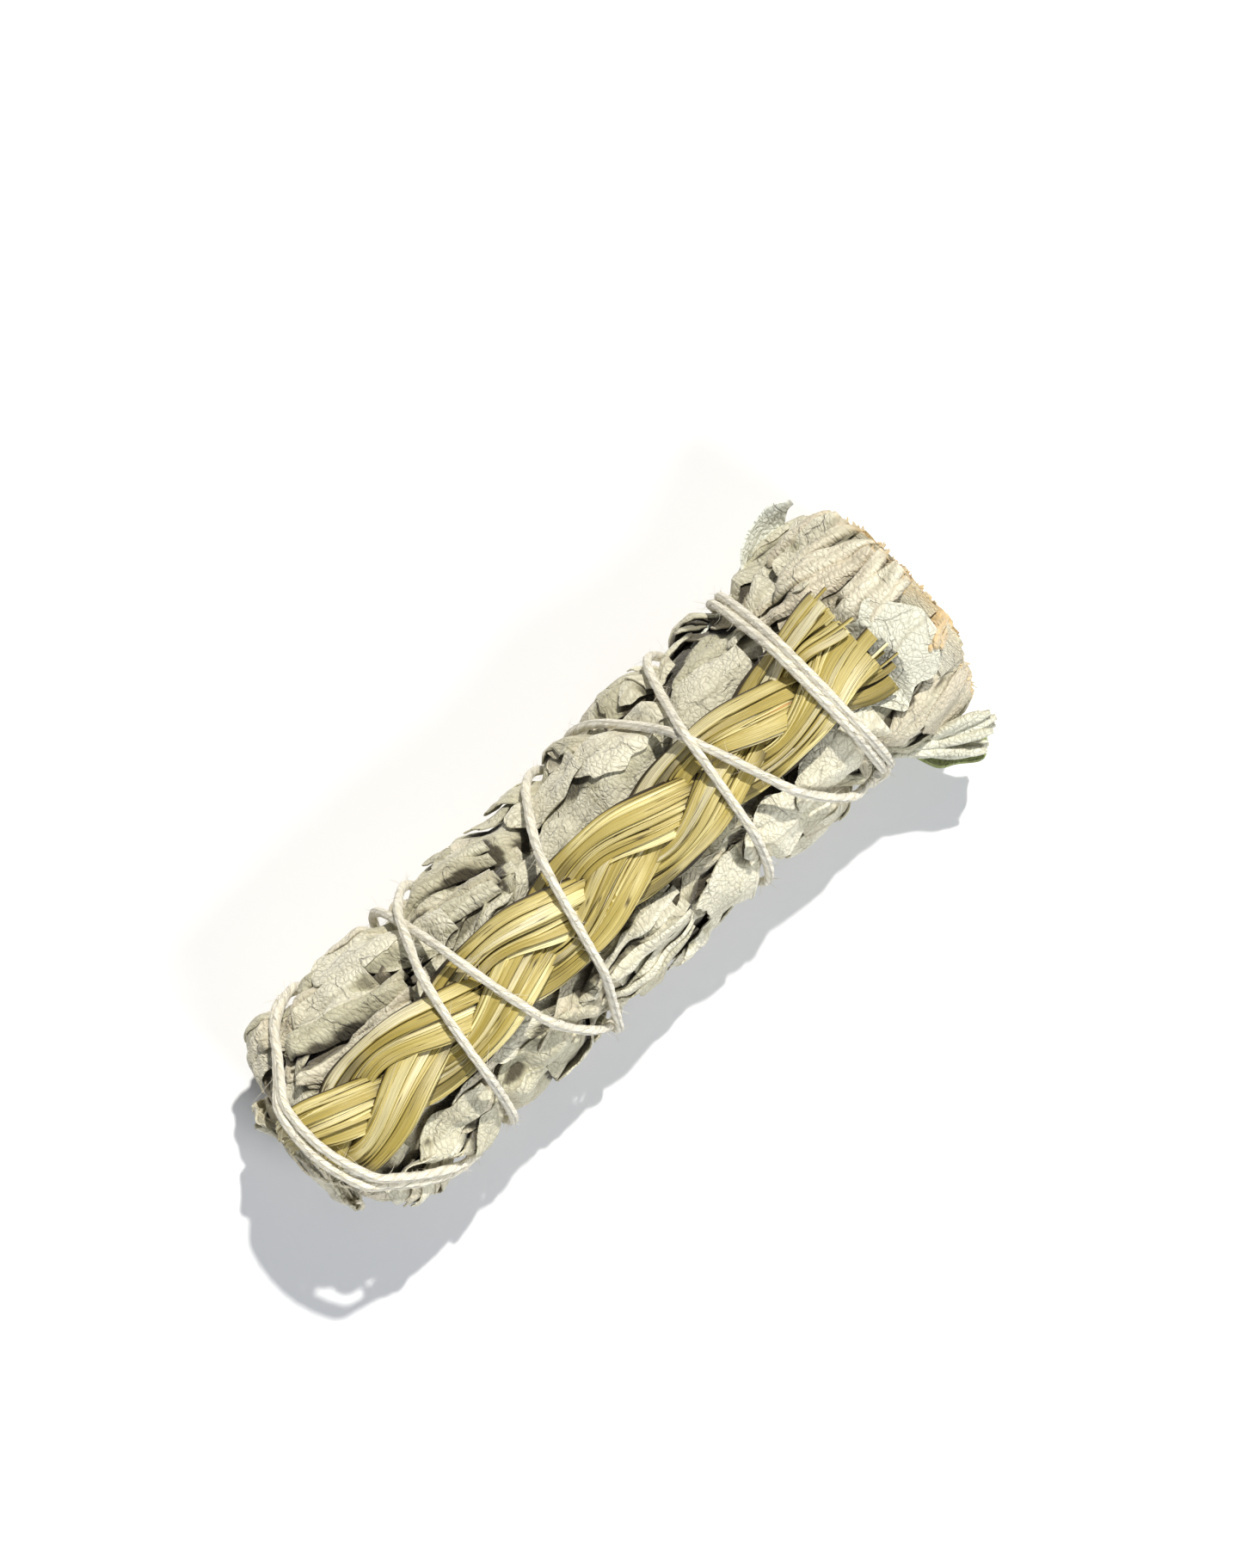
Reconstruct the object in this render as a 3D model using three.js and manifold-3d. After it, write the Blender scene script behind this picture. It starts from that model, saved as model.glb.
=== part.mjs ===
// A sage smudge stick: leafy sage sprigs packed side by side into a stick, a sweetgrass braid laid along
// the top, and one cotton string wound round everything and knotted near the cut end.
// It lies on its side with the braid up. Lengths are millimetres and angles are degrees. +X runs along the
// stick to the cut end, +Y is across it, +Z is up, and z = 0 is the surface that it lies on.
import * as THREE from "three";
import { mergeVertices } from "three/addons/utils/BufferGeometryUtils.js";
import Module from "manifold-3d";

const wasm = await Module();
wasm.setup();

const GAP = 0.3; // kept between neighbouring solids
const SHIFT = [0.9, 1.15]; // moves the middle of the box over the origin

// The packed core, which the leaves stand out of: an ellipse in section, blunt at the narrow end.
const HALF_WIDTH = 14.2;
const HALF_HEIGHT = 12.5;
const AXIS_HEIGHT = 14.45;
const BUTT = 51;
const SHOULDER = -44; // where the narrow end starts to round off
const NOSE_DEPTH = 8;
const NOSE_ARC = 19; // surface distance from the shoulder to the pole
const NOSE_BLUNTNESS = 0.7;
const WAIST = { at: -2, spread: 16, depth: 0.05 };
const TIED = { at: 33, spread: 6, depth: 0.04 };
const FLARE = { from: 38, to: 52, rise: 0.02 };
const CORE_SIDES = 28;
const CORE_STEP = 8;

// The sage. A leaf's base points to the cut end and its tip to the narrow end.
const SPRIGS = 6;
const ROWS = 6;
const ROW_PITCH = 17.5;
const FIRST_TIP = -58;
const LEAF_LENGTH = [32, 40];
const LEAF_HALF_WIDTH = [4.3, 5.3];
const LEAF_LIFT = [1.5, 2.3]; // the tip above the core
const LEAF_FOLD = [-0.3, 0.5]; // the midrib above the edges
const UNDERSIDE_BULGE = 0.9; // added to the lift of the lowest leaves, which the surface presses flat
const LEAF_THICKNESS = 0.8;
const LEAF_ROOT = 0.5; // how far a leaf is sunk into the core
const FREE_TIP = 0.7; // past this share of its length a leaf at the narrow end stands clear of the core
const LEAF_STATIONS = [0, 0.28, 0.56, 0.8, 1]; // from base to tip
const LEAF_OUTLINE = [0.62, 0.95, 1, 0.72, 0.14]; // half-widths there, as shares of the widest
const LEAF_CUT = 51.6; // where the bases at the cut end stop
const SHORTEST_LEAF = 9;
const UNDER_BRAID = 0.91; // leaves whose angle has a greater sine would lie under the braid
const STEM_RADII = [1.7, 1.4, 1.6, 1.3, 1.8, 1.5];
const STEM_LENGTH = 60;
const STEM_PLACE = 0.58; // of the way from the axis to the core's surface

// The braid: three flat strands of sweetgrass, over and under each other along the top.
const BRAID = { from: -55, to: 41, period: 53.4, widestAt: -1.4, lift: 1.65, weave: 1.35, bank: 0.5 };
const BRAID_SAG = 0.02; // how much the braid bends down at its sides, per mm squared
const BRAID_MIDDLE = { from: [-45, -1.6], to: [30, -0.7] }; // Y of the braid's middle at two distances
// How far the strands swing to each side, and what that gains towards the two ends.
const BRAID_REACH = { middle: 3.7, narrowEnd: 0.5, cutEnd: 1.6 };
const PASS = { overlap: 3, ends: 2, clearance: 0.24 };
const STRAND = { halfWidth: 3.3, halfThickness: 1.05, step: 4, sides: 6 };
const BED = { middle: -1.1, halfWidth: 7.8, depth: 1.05, edgeDepth: 1.9, height: 9, step: 7, ends: 1 };

// The string. A turn's points are [angle round the stick, surface distance along it]: 0 is the +Y side,
// 90 the top, 180 the -Y side and 270 the underside.
const STRING = { diameter: 1.3, lift: 1.35, sides: 5, step: 7 };
const STRING_ROOM = { halfWidth: 0.95, below: 0.95, above: 3, ends: 0.8 };
const TURN_STEP = 15; // degrees between the points of a turn
const OVER_BRAID = { rise: 3.85, flat: 5.7, reach: 12.6 };
const TIE_TURNS = [
  [[180, 32.3], [270, 32.2], [360, 31.4]],
  [[0, 31.4], [90, 32.8], [180, 33.2]],
  [[180, 33.2], [270, 33.7], [360, 32.9]],
  [[0, 32.9], [90, 34.2], [180, 34.6]],
];
const TURNS_OUT = [
  [180, 34.6], [270, 27.5], [360, 21.3], [450, 17.1], [540, 13], [630, 6.8], [720, 0.5], [810, -7.3],
  [900, -13.4], [990, -17.5], [1080, -21], [1170, -27.2], [1260, -31], [1350, -36], [1440, -39.9],
];
const NOSE_TURNS = [
  [[0, -39.9], [90, -50.4], [180, -38.8]],
  [[180, -38.8], [270, -33], [360, -41.4]],
  [[0, -41.4], [90, -48.4], [180, -37.3]],
];
const TURNS_BACK = [
  [180, -37.3], [270, -31.5], [360, -26], [450, -20.8], [540, -13.5], [630, -3], [720, 7.5], [810, 19.5],
  [900, 29.5], [912, 31.8],
];
const CROSSING = { lift: 1.1, spread: 2 };
const KNOT = { angle: 190, at: 32.4, rise: 1.85, radius: 1.5, length: 1.25 };

// What comes out from under the tie: a tuft of small rolled leaves and a green leaf on the -Y side, and a
// loose pale leaf on the +Y side. Points are [surface distance, angle, height above the core].
const TUFT_STALK = [[22, 184, -2.2], [30, 185, -1.6], [35.6, 186, -1.3], [38.2, 187, 0.4]];
const TUFT_STALK_RADIUS = 1.0;
const ROLLED_LEAVES = [
  { points: [[36.6, 186, -0.7], [39.5, 184, 1.6], [43.5, 182, 3.1], [48.3, 180, 4.4]], radius: 0.95 },
  { points: [[36.6, 186, -0.7], [40, 187, 2.4], [44, 189, 4.6], [47.8, 190, 6.4]], radius: 0.9 },
  { points: [[36.6, 186, -0.7], [39.6, 190, 3.0], [42.6, 193, 5.8], [45.2, 195, 8.2]], radius: 0.85 },
  { points: [[36.6, 186, -0.7], [39.5, 180, 2.0], [43, 175, 3.6], [46.4, 171, 5.2]], radius: 0.8 },
  { points: [[36.6, 186, -0.7], [38.6, 192, 2.4], [40.4, 196, 4.6], [41.6, 198, 6.2]], radius: 0.75 },
];
const ROLL_TAPER = [0.75, 1, 0.95, 0.4];
const GREEN_LEAF = { base: 27, tip: 46.6, angle: 200, drift: 2, halfWidth: 3.1 };
const LOOSE_LEAF = { base: 26, tip: 46.8, angle: -3, drift: 4, halfWidth: 2.7 };
GREEN_LEAF.rise = [-1.3, -1.3, 0.2, 3.6, 6.6];
LOOSE_LEAF.rise = [-1.3, -1.3, 0.4, 2.6, 4.6];
const STRAY_STATIONS = [0, 0.46, 0.62, 0.84, 1];
const STRAY_OUTLINE = [0.35, 0.55, 0.85, 1, 0.25];

const SAGE = new THREE.MeshStandardMaterial({ color: 0xd6cdb0, roughness: 0.95, metalness: 0 });
const STEM = new THREE.MeshStandardMaterial({ color: 0xb59c6a, roughness: 0.85, metalness: 0 });
const GREEN = new THREE.MeshStandardMaterial({ color: 0x7f8a52, roughness: 0.9, metalness: 0 });
const GRASS = new THREE.MeshStandardMaterial({ color: 0xc3b173, roughness: 0.6, metalness: 0 });
const COTTON = new THREE.MeshStandardMaterial({ color: 0xeee6cc, roughness: 0.95, metalness: 0 });

const radians = THREE.MathUtils.degToRad;
const between = ([low, high], share) => low + (high - low) * share;

// A fixed draw between 0 and 1 for one trait of one leaf.
function draw(leaf, trait) {
  const spread = Math.sin(leaf * 12.9898 + trait * 78.233) * 43758.5453;
  return spread - Math.floor(spread);
}

// The stick's X and its share of the full girth at a surface distance.
function girth(along) {
  if (along < SHOULDER) {
    const turn = (Math.min((SHOULDER - along) / NOSE_ARC, 0.97) * Math.PI) / 2;
    return { x: SHOULDER - NOSE_DEPTH * Math.sin(turn), share: Math.cos(turn) ** NOSE_BLUNTNESS };
  }
  const dip = ({ at, spread, depth }) => depth * Math.exp(-(((along - at) / spread) ** 2));
  const flare = FLARE.rise * THREE.MathUtils.smoothstep(along, FLARE.from, FLARE.to);
  return { x: along, share: 1 - dip(WAIST) - dip(TIED) + flare };
}

function corePoint(along, angle) {
  const { x, share } = girth(along);
  const turn = radians(angle);
  const height = AXIS_HEIGHT + HALF_HEIGHT * share * Math.sin(turn);
  return new THREE.Vector3(x, HALF_WIDTH * share * Math.cos(turn), height);
}

function coreNormal(along, angle) {
  const nudge = 0.05;
  const lengthways = corePoint(along + nudge, angle).sub(corePoint(along - nudge, angle));
  const round = corePoint(along, angle + nudge).sub(corePoint(along, angle - nudge));
  return round.cross(lengthways).normalize();
}

function onCore(along, angle, out) {
  return coreNormal(along, angle).multiplyScalar(out).add(corePoint(along, angle));
}

// A closed solid from vertices and faces, and one from any three.js geometry.
function solidFrom(points, faces) {
  const vertProperties = new Float32Array(points.flatMap((point) => [point.x, point.y, point.z]));
  const triVerts = new Uint32Array(faces.flat());
  return new wasm.Manifold(new wasm.Mesh({ numProp: 3, vertProperties, triVerts }));
}

function solidOf(geometry) {
  const bare = geometry.index ? geometry.toNonIndexed() : geometry.clone();
  bare.deleteAttribute("normal");
  bare.deleteAttribute("uv");
  const merged = mergeVertices(bare, 1e-4);
  const vertProperties = merged.attributes.position.array;
  const triVerts = new Uint32Array(merged.index.array);
  return new wasm.Manifold(new wasm.Mesh({ numProp: 3, vertProperties, triVerts }));
}

const joined = (solids) => solids.reduce((whole, solid) => whole.add(solid));

// Keeps the one body that counts: loose scraps go, and so do the walls of sealed hollows.
function oneBody(solid) {
  const bodies = solid.decompose().sort((a, b) => b.volume() - a.volume());
  return bodies[0];
}

function meshOf(name, solid, material) {
  const { vertProperties, triVerts } = oneBody(solid).getMesh();
  const geometry = new THREE.BufferGeometry();
  geometry.setAttribute("position", new THREE.BufferAttribute(vertProperties, 3));
  geometry.setIndex(new THREE.BufferAttribute(triVerts, 1));
  geometry.computeVertexNormals();
  const mesh = new THREE.Mesh(geometry, material);
  mesh.name = name;
  return mesh;
}

// A solid through rings of points, each ring anticlockwise as seen from the last one, with flat ends.
function loft(rings) {
  const sides = rings[0].length;
  const faces = [];
  for (let ring = 0; ring + 1 < rings.length; ring++)
    for (let side = 0; side < sides; side++) {
      const here = ring * sides + side;
      const next = ring * sides + ((side + 1) % sides);
      faces.push([here, next, next + sides], [here, next + sides, here + sides]);
    }
  const last = (rings.length - 1) * sides;
  for (let side = 1; side + 1 < sides; side++) {
    faces.push([0, side + 1, side], [last, last + side, last + side + 1]);
  }
  const solid = solidFrom(rings.flat(), faces);
  return solid.volume() < 0 ? solidFrom(rings.flat(), faces.map(([a, b, c]) => [a, c, b])) : solid;
}

// A blade between two grids of points, split into triangles alike on both faces.
function blade(upper, lower) {
  const rows = upper.length;
  const columns = upper[0].length;
  const under = rows * columns;
  const faces = [];
  const at = (row, column) => row * columns + column;
  for (let row = 0; row + 1 < rows; row++)
    for (let column = 0; column + 1 < columns; column++) {
      const [a, b] = [at(row, column), at(row, column + 1)];
      const [c, d] = [at(row + 1, column + 1), at(row + 1, column)];
      faces.push([a, b, c], [a, c, d], [a + under, c + under, b + under], [a + under, d + under, c + under]);
    }
  const rim = [];
  for (let column = 0; column < columns; column++) rim.push(at(0, column));
  for (let row = 1; row < rows; row++) rim.push(at(row, columns - 1));
  for (let column = columns - 2; column >= 0; column--) rim.push(at(rows - 1, column));
  for (let row = rows - 2; row > 0; row--) rim.push(at(row, 0));
  rim.forEach((point, index) => {
    const next = rim[(index + 1) % rim.length];
    faces.push([point, point + under, next + under], [point, next + under, next]);
  });
  const points = [...upper.flat(), ...lower.flat()];
  const solid = solidFrom(points, faces);
  return solid.volume() < 0 ? solidFrom(points, faces.map(([a, b, c]) => [a, c, b])) : solid;
}

function wholeCore() {
  const stations = [0.97, 0.8, 0.6, 0.4, 0.2].map((share) => SHOULDER - NOSE_ARC * share);
  for (let along = SHOULDER; along < BUTT; along += CORE_STEP) stations.push(along);
  stations.push(BUTT);
  return loft(stations.map((along) =>
    Array.from({ length: CORE_SIDES }, (_, side) => corePoint(along, (360 * side) / CORE_SIDES))));
}

// The wedge of the section that one sprig fills, as a prism along X, half a gap inside its two planes.
function wedge(middle) {
  const reach = 3;
  const half = 180 / SPRIGS;
  const far = (angle) => {
    return new THREE.Vector2(HALF_WIDTH * Math.cos(radians(angle)), HALF_HEIGHT * Math.sin(radians(angle)));
  };
  const [first, second] = [far(middle - half), far(middle + half)];
  const opening = (second.angle() - first.angle() + 2 * Math.PI) % (2 * Math.PI);
  const inwards = first.clone().normalize().add(second.clone().normalize()).normalize();
  const apex = inwards.multiplyScalar(GAP / 2 / Math.sin(opening / 2));
  const corners = [apex, first.multiplyScalar(reach).add(apex), second.multiplyScalar(reach).add(apex)];
  const prism = new THREE.ExtrudeGeometry(new THREE.Shape(corners), { depth: 130, bevelEnabled: false });
  // Shape X becomes +Y, shape Y becomes +Z and the depth runs along +X.
  prism.applyMatrix4(new THREE.Matrix4().makeBasis(
    new THREE.Vector3(0, 1, 0), new THREE.Vector3(0, 0, 1), new THREE.Vector3(1, 0, 0)));
  return solidOf(prism.translate(-65, 0, AXIS_HEIGHT));
}

// Every leaf of one sprig: where its tip is, how long, wide and high it is, and how it is turned.
function leavesOf(sprig) {
  const leaves = [];
  for (let row = 0; row < ROWS; row++)
    for (const side of [0, 1]) {
      const id = (sprig * ROWS + row) * 2 + side;
      const tip = FIRST_TIP + ROW_PITCH * (row + side / 2) + 4 * (draw(id, 1) - 0.5);
      const base = Math.min(tip + between(LEAF_LENGTH, draw(id, 2)), LEAF_CUT - draw(id, 8));
      const angle = 270 + (360 / SPRIGS) * (sprig + (side - 0.5) / 2) + 7 * (draw(id, 3) - 0.5);
      const leaf = {
        tip, base, angle,
        halfWidth: between(LEAF_HALF_WIDTH, draw(id, 4)),
        lift: between(LEAF_LIFT, draw(id, 5)) + UNDERSIDE_BULGE * Math.max(0, -Math.sin(radians(angle))) ** 4,
        fold: between(LEAF_FOLD, draw(id, 6)),
        yaw: 10 * (draw(id, 7) - 0.5),
      };
      const underBraid = Math.sin(radians(angle)) > UNDER_BRAID && tip < BRAID.to - 3;
      if (underBraid) leaf.tip = BRAID.to - 3;
      if (base - leaf.tip > SHORTEST_LEAF) leaves.push(leaf);
    }
  return leaves;
}

function leafSolid({ tip, base, angle, halfWidth, lift, fold, yaw }) {
  const atCut = base > LEAF_CUT - 1.5;
  const rise = atCut ? 1.0 : 0.25; // of the base above the core
  const upper = [];
  const lower = [];
  LEAF_STATIONS.forEach((share, station) => {
    const along = base + (tip - base) * share;
    const drift = (base - tip) * share * Math.tan(radians(yaw));
    const top = rise + (lift - rise) * THREE.MathUtils.smoothstep(share, 0, 0.75);
    const wide = halfWidth * (atCut && station === 0 ? 0.9 : LEAF_OUTLINE[station]);
    const free = share > FREE_TIP && tip < SHOULDER - NOSE_DEPTH;
    const row = (height) => [-1, 0, 1].map((across) => {
      const local = HALF_WIDTH * girth(along).share;
      const turned = angle + THREE.MathUtils.radToDeg((drift + across * wide) / local);
      return onCore(along, turned, height(across === 0 ? fold * 0.5 : -fold * 0.5));
    });
    upper.push(row((folded) => top + folded));
    lower.push(row((folded) => (free ? top + folded - LEAF_THICKNESS : -LEAF_ROOT)));
  });
  return blade(upper, lower);
}

// A strand's middle at a surface distance: its Y, its height above the core, and the tilt that lifts the
// side which is about to pass over. It swings from edge to edge once a period, and rides over the others
// on the way from each edge to the middle.
function strandAt(along, strand) {
  const turn = radians(90 + (360 * (along - BRAID.widestAt)) / BRAID.period + 120 * strand);
  const middle = THREE.MathUtils.mapLinear(
    along, BRAID_MIDDLE.from[0], BRAID_MIDDLE.to[0], BRAID_MIDDLE.from[1], BRAID_MIDDLE.to[1]);
  const narrowEnd = BRAID_REACH.narrowEnd * THREE.MathUtils.smoothstep(-along, 25, 45);
  const cutEnd = BRAID_REACH.cutEnd * THREE.MathUtils.smoothstep(along, 28, BRAID.to);
  const y = middle + (BRAID_REACH.middle + narrowEnd + cutEnd) * Math.sin(turn);
  const height = BRAID.lift - BRAID.weave * Math.sin(2 * turn);
  return { y, height, tilt: (-BRAID.bank * Math.cos(turn)) / STRAND.halfWidth };
}

function braidPoint(along, y, height) {
  const outward = coreNormal(along, 90);
  const drop = BRAID_SAG * y * y;
  return corePoint(along, 90).add(new THREE.Vector3(0, y, 0)).addScaledVector(outward, height - drop);
}

function strandStretch(strand, from, to, grown) {
  const steps = Math.max(2, Math.round((to - from) / STRAND.step));
  const rings = [];
  for (let step = 0; step <= steps; step++) {
    const along = from + ((to - from) * step) / steps;
    const { y, height, tilt } = strandAt(along, strand);
    rings.push(Array.from({ length: STRAND.sides }, (_, side) => {
      const turn = (2 * Math.PI * side) / STRAND.sides;
      const across = (STRAND.halfWidth + grown) * Math.cos(turn);
      const up = ((STRAND.halfThickness + grown) * Math.sin(turn)) / Math.sin(Math.PI / 3);
      return braidPoint(along, y + across, height + up + tilt * across);
    }));
  }
  return loft(rings);
}

// The stretches where a strand passes over the others, from an edge of the braid to its middle, a little
// larger than the strand.
function passesOver(strand) {
  const stretches = [];
  for (let pass = -4; pass <= 4; pass++) {
    const edge = BRAID.widestAt + BRAID.period * (pass / 2 - strand / 3);
    const from = Math.max(edge - PASS.overlap, BRAID.from - PASS.ends);
    const to = Math.min(edge + BRAID.period / 4 + PASS.overlap, BRAID.to + PASS.ends);
    if (to - from > PASS.overlap) stretches.push(strandStretch(strand, from, to, PASS.clearance));
  }
  return joined(stretches);
}

// The trough along the top of the sprigs that the braid lies in.
function braidBed() {
  const rings = [];
  const steps = Math.round((BRAID.to - BRAID.from) / BED.step);
  for (let step = 0; step <= steps; step++) {
    const along = THREE.MathUtils.lerp(BRAID.from - BED.ends, BRAID.to + BED.ends, step / steps);
    const section = [
      [-BED.halfWidth, BED.height], [-BED.halfWidth, -BED.edgeDepth], [0, -BED.depth],
      [BED.halfWidth, -BED.edgeDepth], [BED.halfWidth, BED.height],
    ];
    rings.push(section.map(([across, height]) => {
      const top = corePoint(along, 90).add(new THREE.Vector3(0, BED.middle + across, 0));
      return top.addScaledVector(coreNormal(along, 90), height);
    }));
  }
  return loft(rings);
}

// How far the taut string rides above the core: it bridges from the braid's edges down to the leaves.
function stringLift(along, angle) {
  const across = HALF_WIDTH * girth(along).share * Math.cos(radians(angle)) - BED.middle;
  const above = Math.sin(radians(angle)) > 0;
  const near = THREE.MathUtils.clamp(
    (OVER_BRAID.reach - Math.abs(across)) / (OVER_BRAID.reach - OVER_BRAID.flat), 0, 1);
  return STRING.lift + (above ? OVER_BRAID.rise * near * near : 0);
}

function turnPoints(turns) {
  const places = turns.map(([angle, along]) => new THREE.Vector3(angle, along, 0));
  const plan = new THREE.CatmullRomCurve3(places, false, "catmullrom");
  const count = Math.max(4, Math.round((turns[turns.length - 1][0] - turns[0][0]) / TURN_STEP));
  return plan.getPoints(count).map(({ x, y }) => onCore(y, x, stringLift(y, x)));
}

function stringSolid(points) {
  const curve = new THREE.CatmullRomCurve3(points, false, "centripetal");
  const radius = STRING.diameter / 2;
  const section = new THREE.Shape(Array.from({ length: STRING.sides }, (_, side) => {
    const turn = (2 * Math.PI * side) / STRING.sides;
    return new THREE.Vector2(radius * Math.cos(turn), radius * Math.sin(turn));
  }));
  const steps = Math.round(curve.getLength() / STRING.step);
  return solidOf(new THREE.ExtrudeGeometry(section, { extrudePath: curve, steps, bevelEnabled: false }));
}

// The groove that the string presses into the leaves: a slot along the same run, open outwards.
function stringRoom(points) {
  const curve = new THREE.CatmullRomCurve3(points, false, "centripetal");
  const steps = Math.round(curve.getLength() / STRING.step);
  const { below: floor, above: mouth } = STRING_ROOM;
  const corners = [[-1, -floor], [1, -floor], [1, mouth], [-1, mouth]];
  const rings = curve.getSpacedPoints(steps).map((point, step) => {
    const rise = point.z - AXIS_HEIGHT;
    const outward = new THREE.Vector3(0, point.y / HALF_WIDTH ** 2, rise / HALF_HEIGHT ** 2);
    const ahead = curve.getTangentAt(step / steps);
    const aside = ahead.clone().cross(outward).normalize();
    const up = aside.clone().cross(ahead).normalize();
    const beyond = step === 0 ? -STRING_ROOM.ends : step === steps ? STRING_ROOM.ends : 0;
    return corners.map(([across, height]) => {
      const corner = point.clone().addScaledVector(ahead, beyond);
      return corner.addScaledVector(aside, across * STRING_ROOM.halfWidth).addScaledVector(up, height);
    });
  });
  return loft(rings);
}

// Where the turns out cross the turns back they ride over them.
function liftOver(points, others) {
  return points.map((point) => {
    const away = Math.min(...others.map((other) => other.distanceTo(point)));
    const outward = new THREE.Vector3(0, point.y, point.z - AXIS_HEIGHT).normalize();
    return point.clone().addScaledVector(outward, CROSSING.lift * Math.exp(-((away / CROSSING.spread) ** 2)));
  });
}

function knotSolid(grown) {
  const middle = onCore(KNOT.at, KNOT.angle, KNOT.rise);
  const lump = new THREE.IcosahedronGeometry(KNOT.radius + grown, 1);
  return solidOf(lump.scale(KNOT.length, 1, 1).translate(middle.x, middle.y, middle.z));
}

function stringRuns() {
  const back = turnPoints(TURNS_BACK);
  const out = liftOver(turnPoints(TURNS_OUT), back);
  return [...TIE_TURNS.map(turnPoints), out, ...NOSE_TURNS.map(turnPoints), back];
}

// A small leaf that comes out from under the tie and bends away from the stick.
function strayLeaf({ base, tip, angle, drift, halfWidth, rise }, grown) {
  const upper = [];
  const lower = [];
  STRAY_STATIONS.forEach((share, station) => {
    const overshoot = station === 0 ? -grown : station === STRAY_STATIONS.length - 1 ? grown : 0;
    const along = THREE.MathUtils.lerp(base, tip, share) + overshoot;
    const wide = halfWidth * STRAY_OUTLINE[station] + grown;
    const row = (height) => [-1, 0, 1].map((across) => {
      const turned = angle + drift * share + THREE.MathUtils.radToDeg((across * wide) / HALF_WIDTH);
      return onCore(along, turned, rise[station] + height + (across === 0 ? 0.25 : 0));
    });
    upper.push(row(LEAF_THICKNESS / 2 + grown));
    lower.push(row(-LEAF_THICKNESS / 2 - grown));
  });
  return blade(upper, lower);
}

// A rod through points, its radius changing along it.
function rod(points, radii, steps, sides) {
  const curve = new THREE.CatmullRomCurve3(points.map(([along, angle, out]) => onCore(along, angle, out)));
  const { normals, binormals } = curve.computeFrenetFrames(steps);
  return loft(Array.from({ length: steps + 1 }, (_, step) => {
    const share = (step / steps) * (radii.length - 1);
    const before = Math.min(Math.floor(share), radii.length - 2);
    const radius = THREE.MathUtils.lerp(radii[before], radii[before + 1], share - before);
    return Array.from({ length: sides }, (_, side) => {
      const turn = (2 * Math.PI * side) / sides;
      return curve.getPointAt(step / steps)
        .addScaledVector(normals[step], radius * Math.cos(turn))
        .addScaledVector(binormals[step], radius * Math.sin(turn));
    });
  }));
}

function tuft(grown) {
  const stalk = rod(TUFT_STALK, [TUFT_STALK_RADIUS + grown, TUFT_STALK_RADIUS + grown], 4, 6);
  const rolls = ROLLED_LEAVES.map(({ points, radius }) => {
    return rod(points, ROLL_TAPER.map((taper) => radius * taper + grown), 4, 5);
  });
  return joined([stalk, ...rolls]);
}

// A sprig's woody stem: a round rod from inside the stick to the cut end.
function stem(sprig, grown) {
  const middle = radians(270 + (360 / SPRIGS) * sprig);
  const radius = STEM_RADII[sprig] + grown;
  const geometry = new THREE.CylinderGeometry(radius, radius, STEM_LENGTH + 2 * grown, 8);
  geometry.rotateZ(Math.PI / 2).translate(
    LEAF_CUT - STEM_LENGTH / 2,
    STEM_PLACE * HALF_WIDTH * Math.cos(middle),
    AXIS_HEIGHT + STEM_PLACE * HALF_HEIGHT * Math.sin(middle));
  return solidOf(geometry);
}

const group = new THREE.Group();
group.name = "sage_smudge_stick";
group.position.set(SHIFT[0], SHIFT[1], 0);

const runs = stringRuns();
const string = joined([...runs.map(stringSolid), knotSolid(0)]);
const grooves = joined([...runs.map(stringRoom), knotSolid(2 * GAP)]);
group.add(meshOf("cotton_string", string, COTTON));

const over = [0, 1, 2].map(passesOver);
for (let strand = 0; strand < 3; strand++) {
  const others = [0, 1, 2].filter((other) => other !== strand).map((other) => over[other]);
  const whole = strandStretch(strand, BRAID.from, BRAID.to, 0);
  group.add(meshOf(`sweetgrass_strand_${strand + 1}`, whole.subtract(joined(others)), GRASS));
}

const rolledRoom = tuft(GAP);
const strayRoom = joined([rolledRoom, strayLeaf(GREEN_LEAF, GAP), strayLeaf(LOOSE_LEAF, GAP)]);
group.add(meshOf("side_sprig", tuft(0).subtract(grooves), SAGE));
group.add(meshOf("side_green_leaf", strayLeaf(GREEN_LEAF, 0).subtract(rolledRoom).subtract(grooves), GREEN));
group.add(meshOf("loose_leaf", strayLeaf(LOOSE_LEAF, 0).subtract(grooves), SAGE));

const core = wholeCore();
const bed = braidBed();
const below = solidOf(new THREE.BoxGeometry(140, 60, 10).translate(0, 0, -5));
const emptied = [bed, grooves, strayRoom, below];
for (let sprig = 0; sprig < SPRIGS; sprig++) {
  const bunch = joined([core, ...leavesOf(sprig).map(leafSolid)]);
  const leafy = bunch.intersect(wedge(270 + (360 / SPRIGS) * sprig));
  const shaped = [...emptied, stem(sprig, GAP)].reduce((solid, room) => solid.subtract(room), leafy);
  group.add(meshOf(`sage_sprig_${sprig + 1}`, shaped, SAGE));
  group.add(meshOf(`sage_stem_${sprig + 1}`, stem(sprig, 0), STEM));
}
export default group;
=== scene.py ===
# %% [markdown]
# # A sage smudge stick
# Dried white sage is packed side by side into a stick, a sweetgrass braid is laid along the top, and one
# cotton string is wound round both and knotted near the cut end. Its solids are loaded first and stay where
# they are. Every visible piece is then made as a mesh in the same frame and stands for the solid below it.
# The box round the bare solids is kept, to compare the finished model with it at the end.

# %% Load the frame
import math

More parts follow.
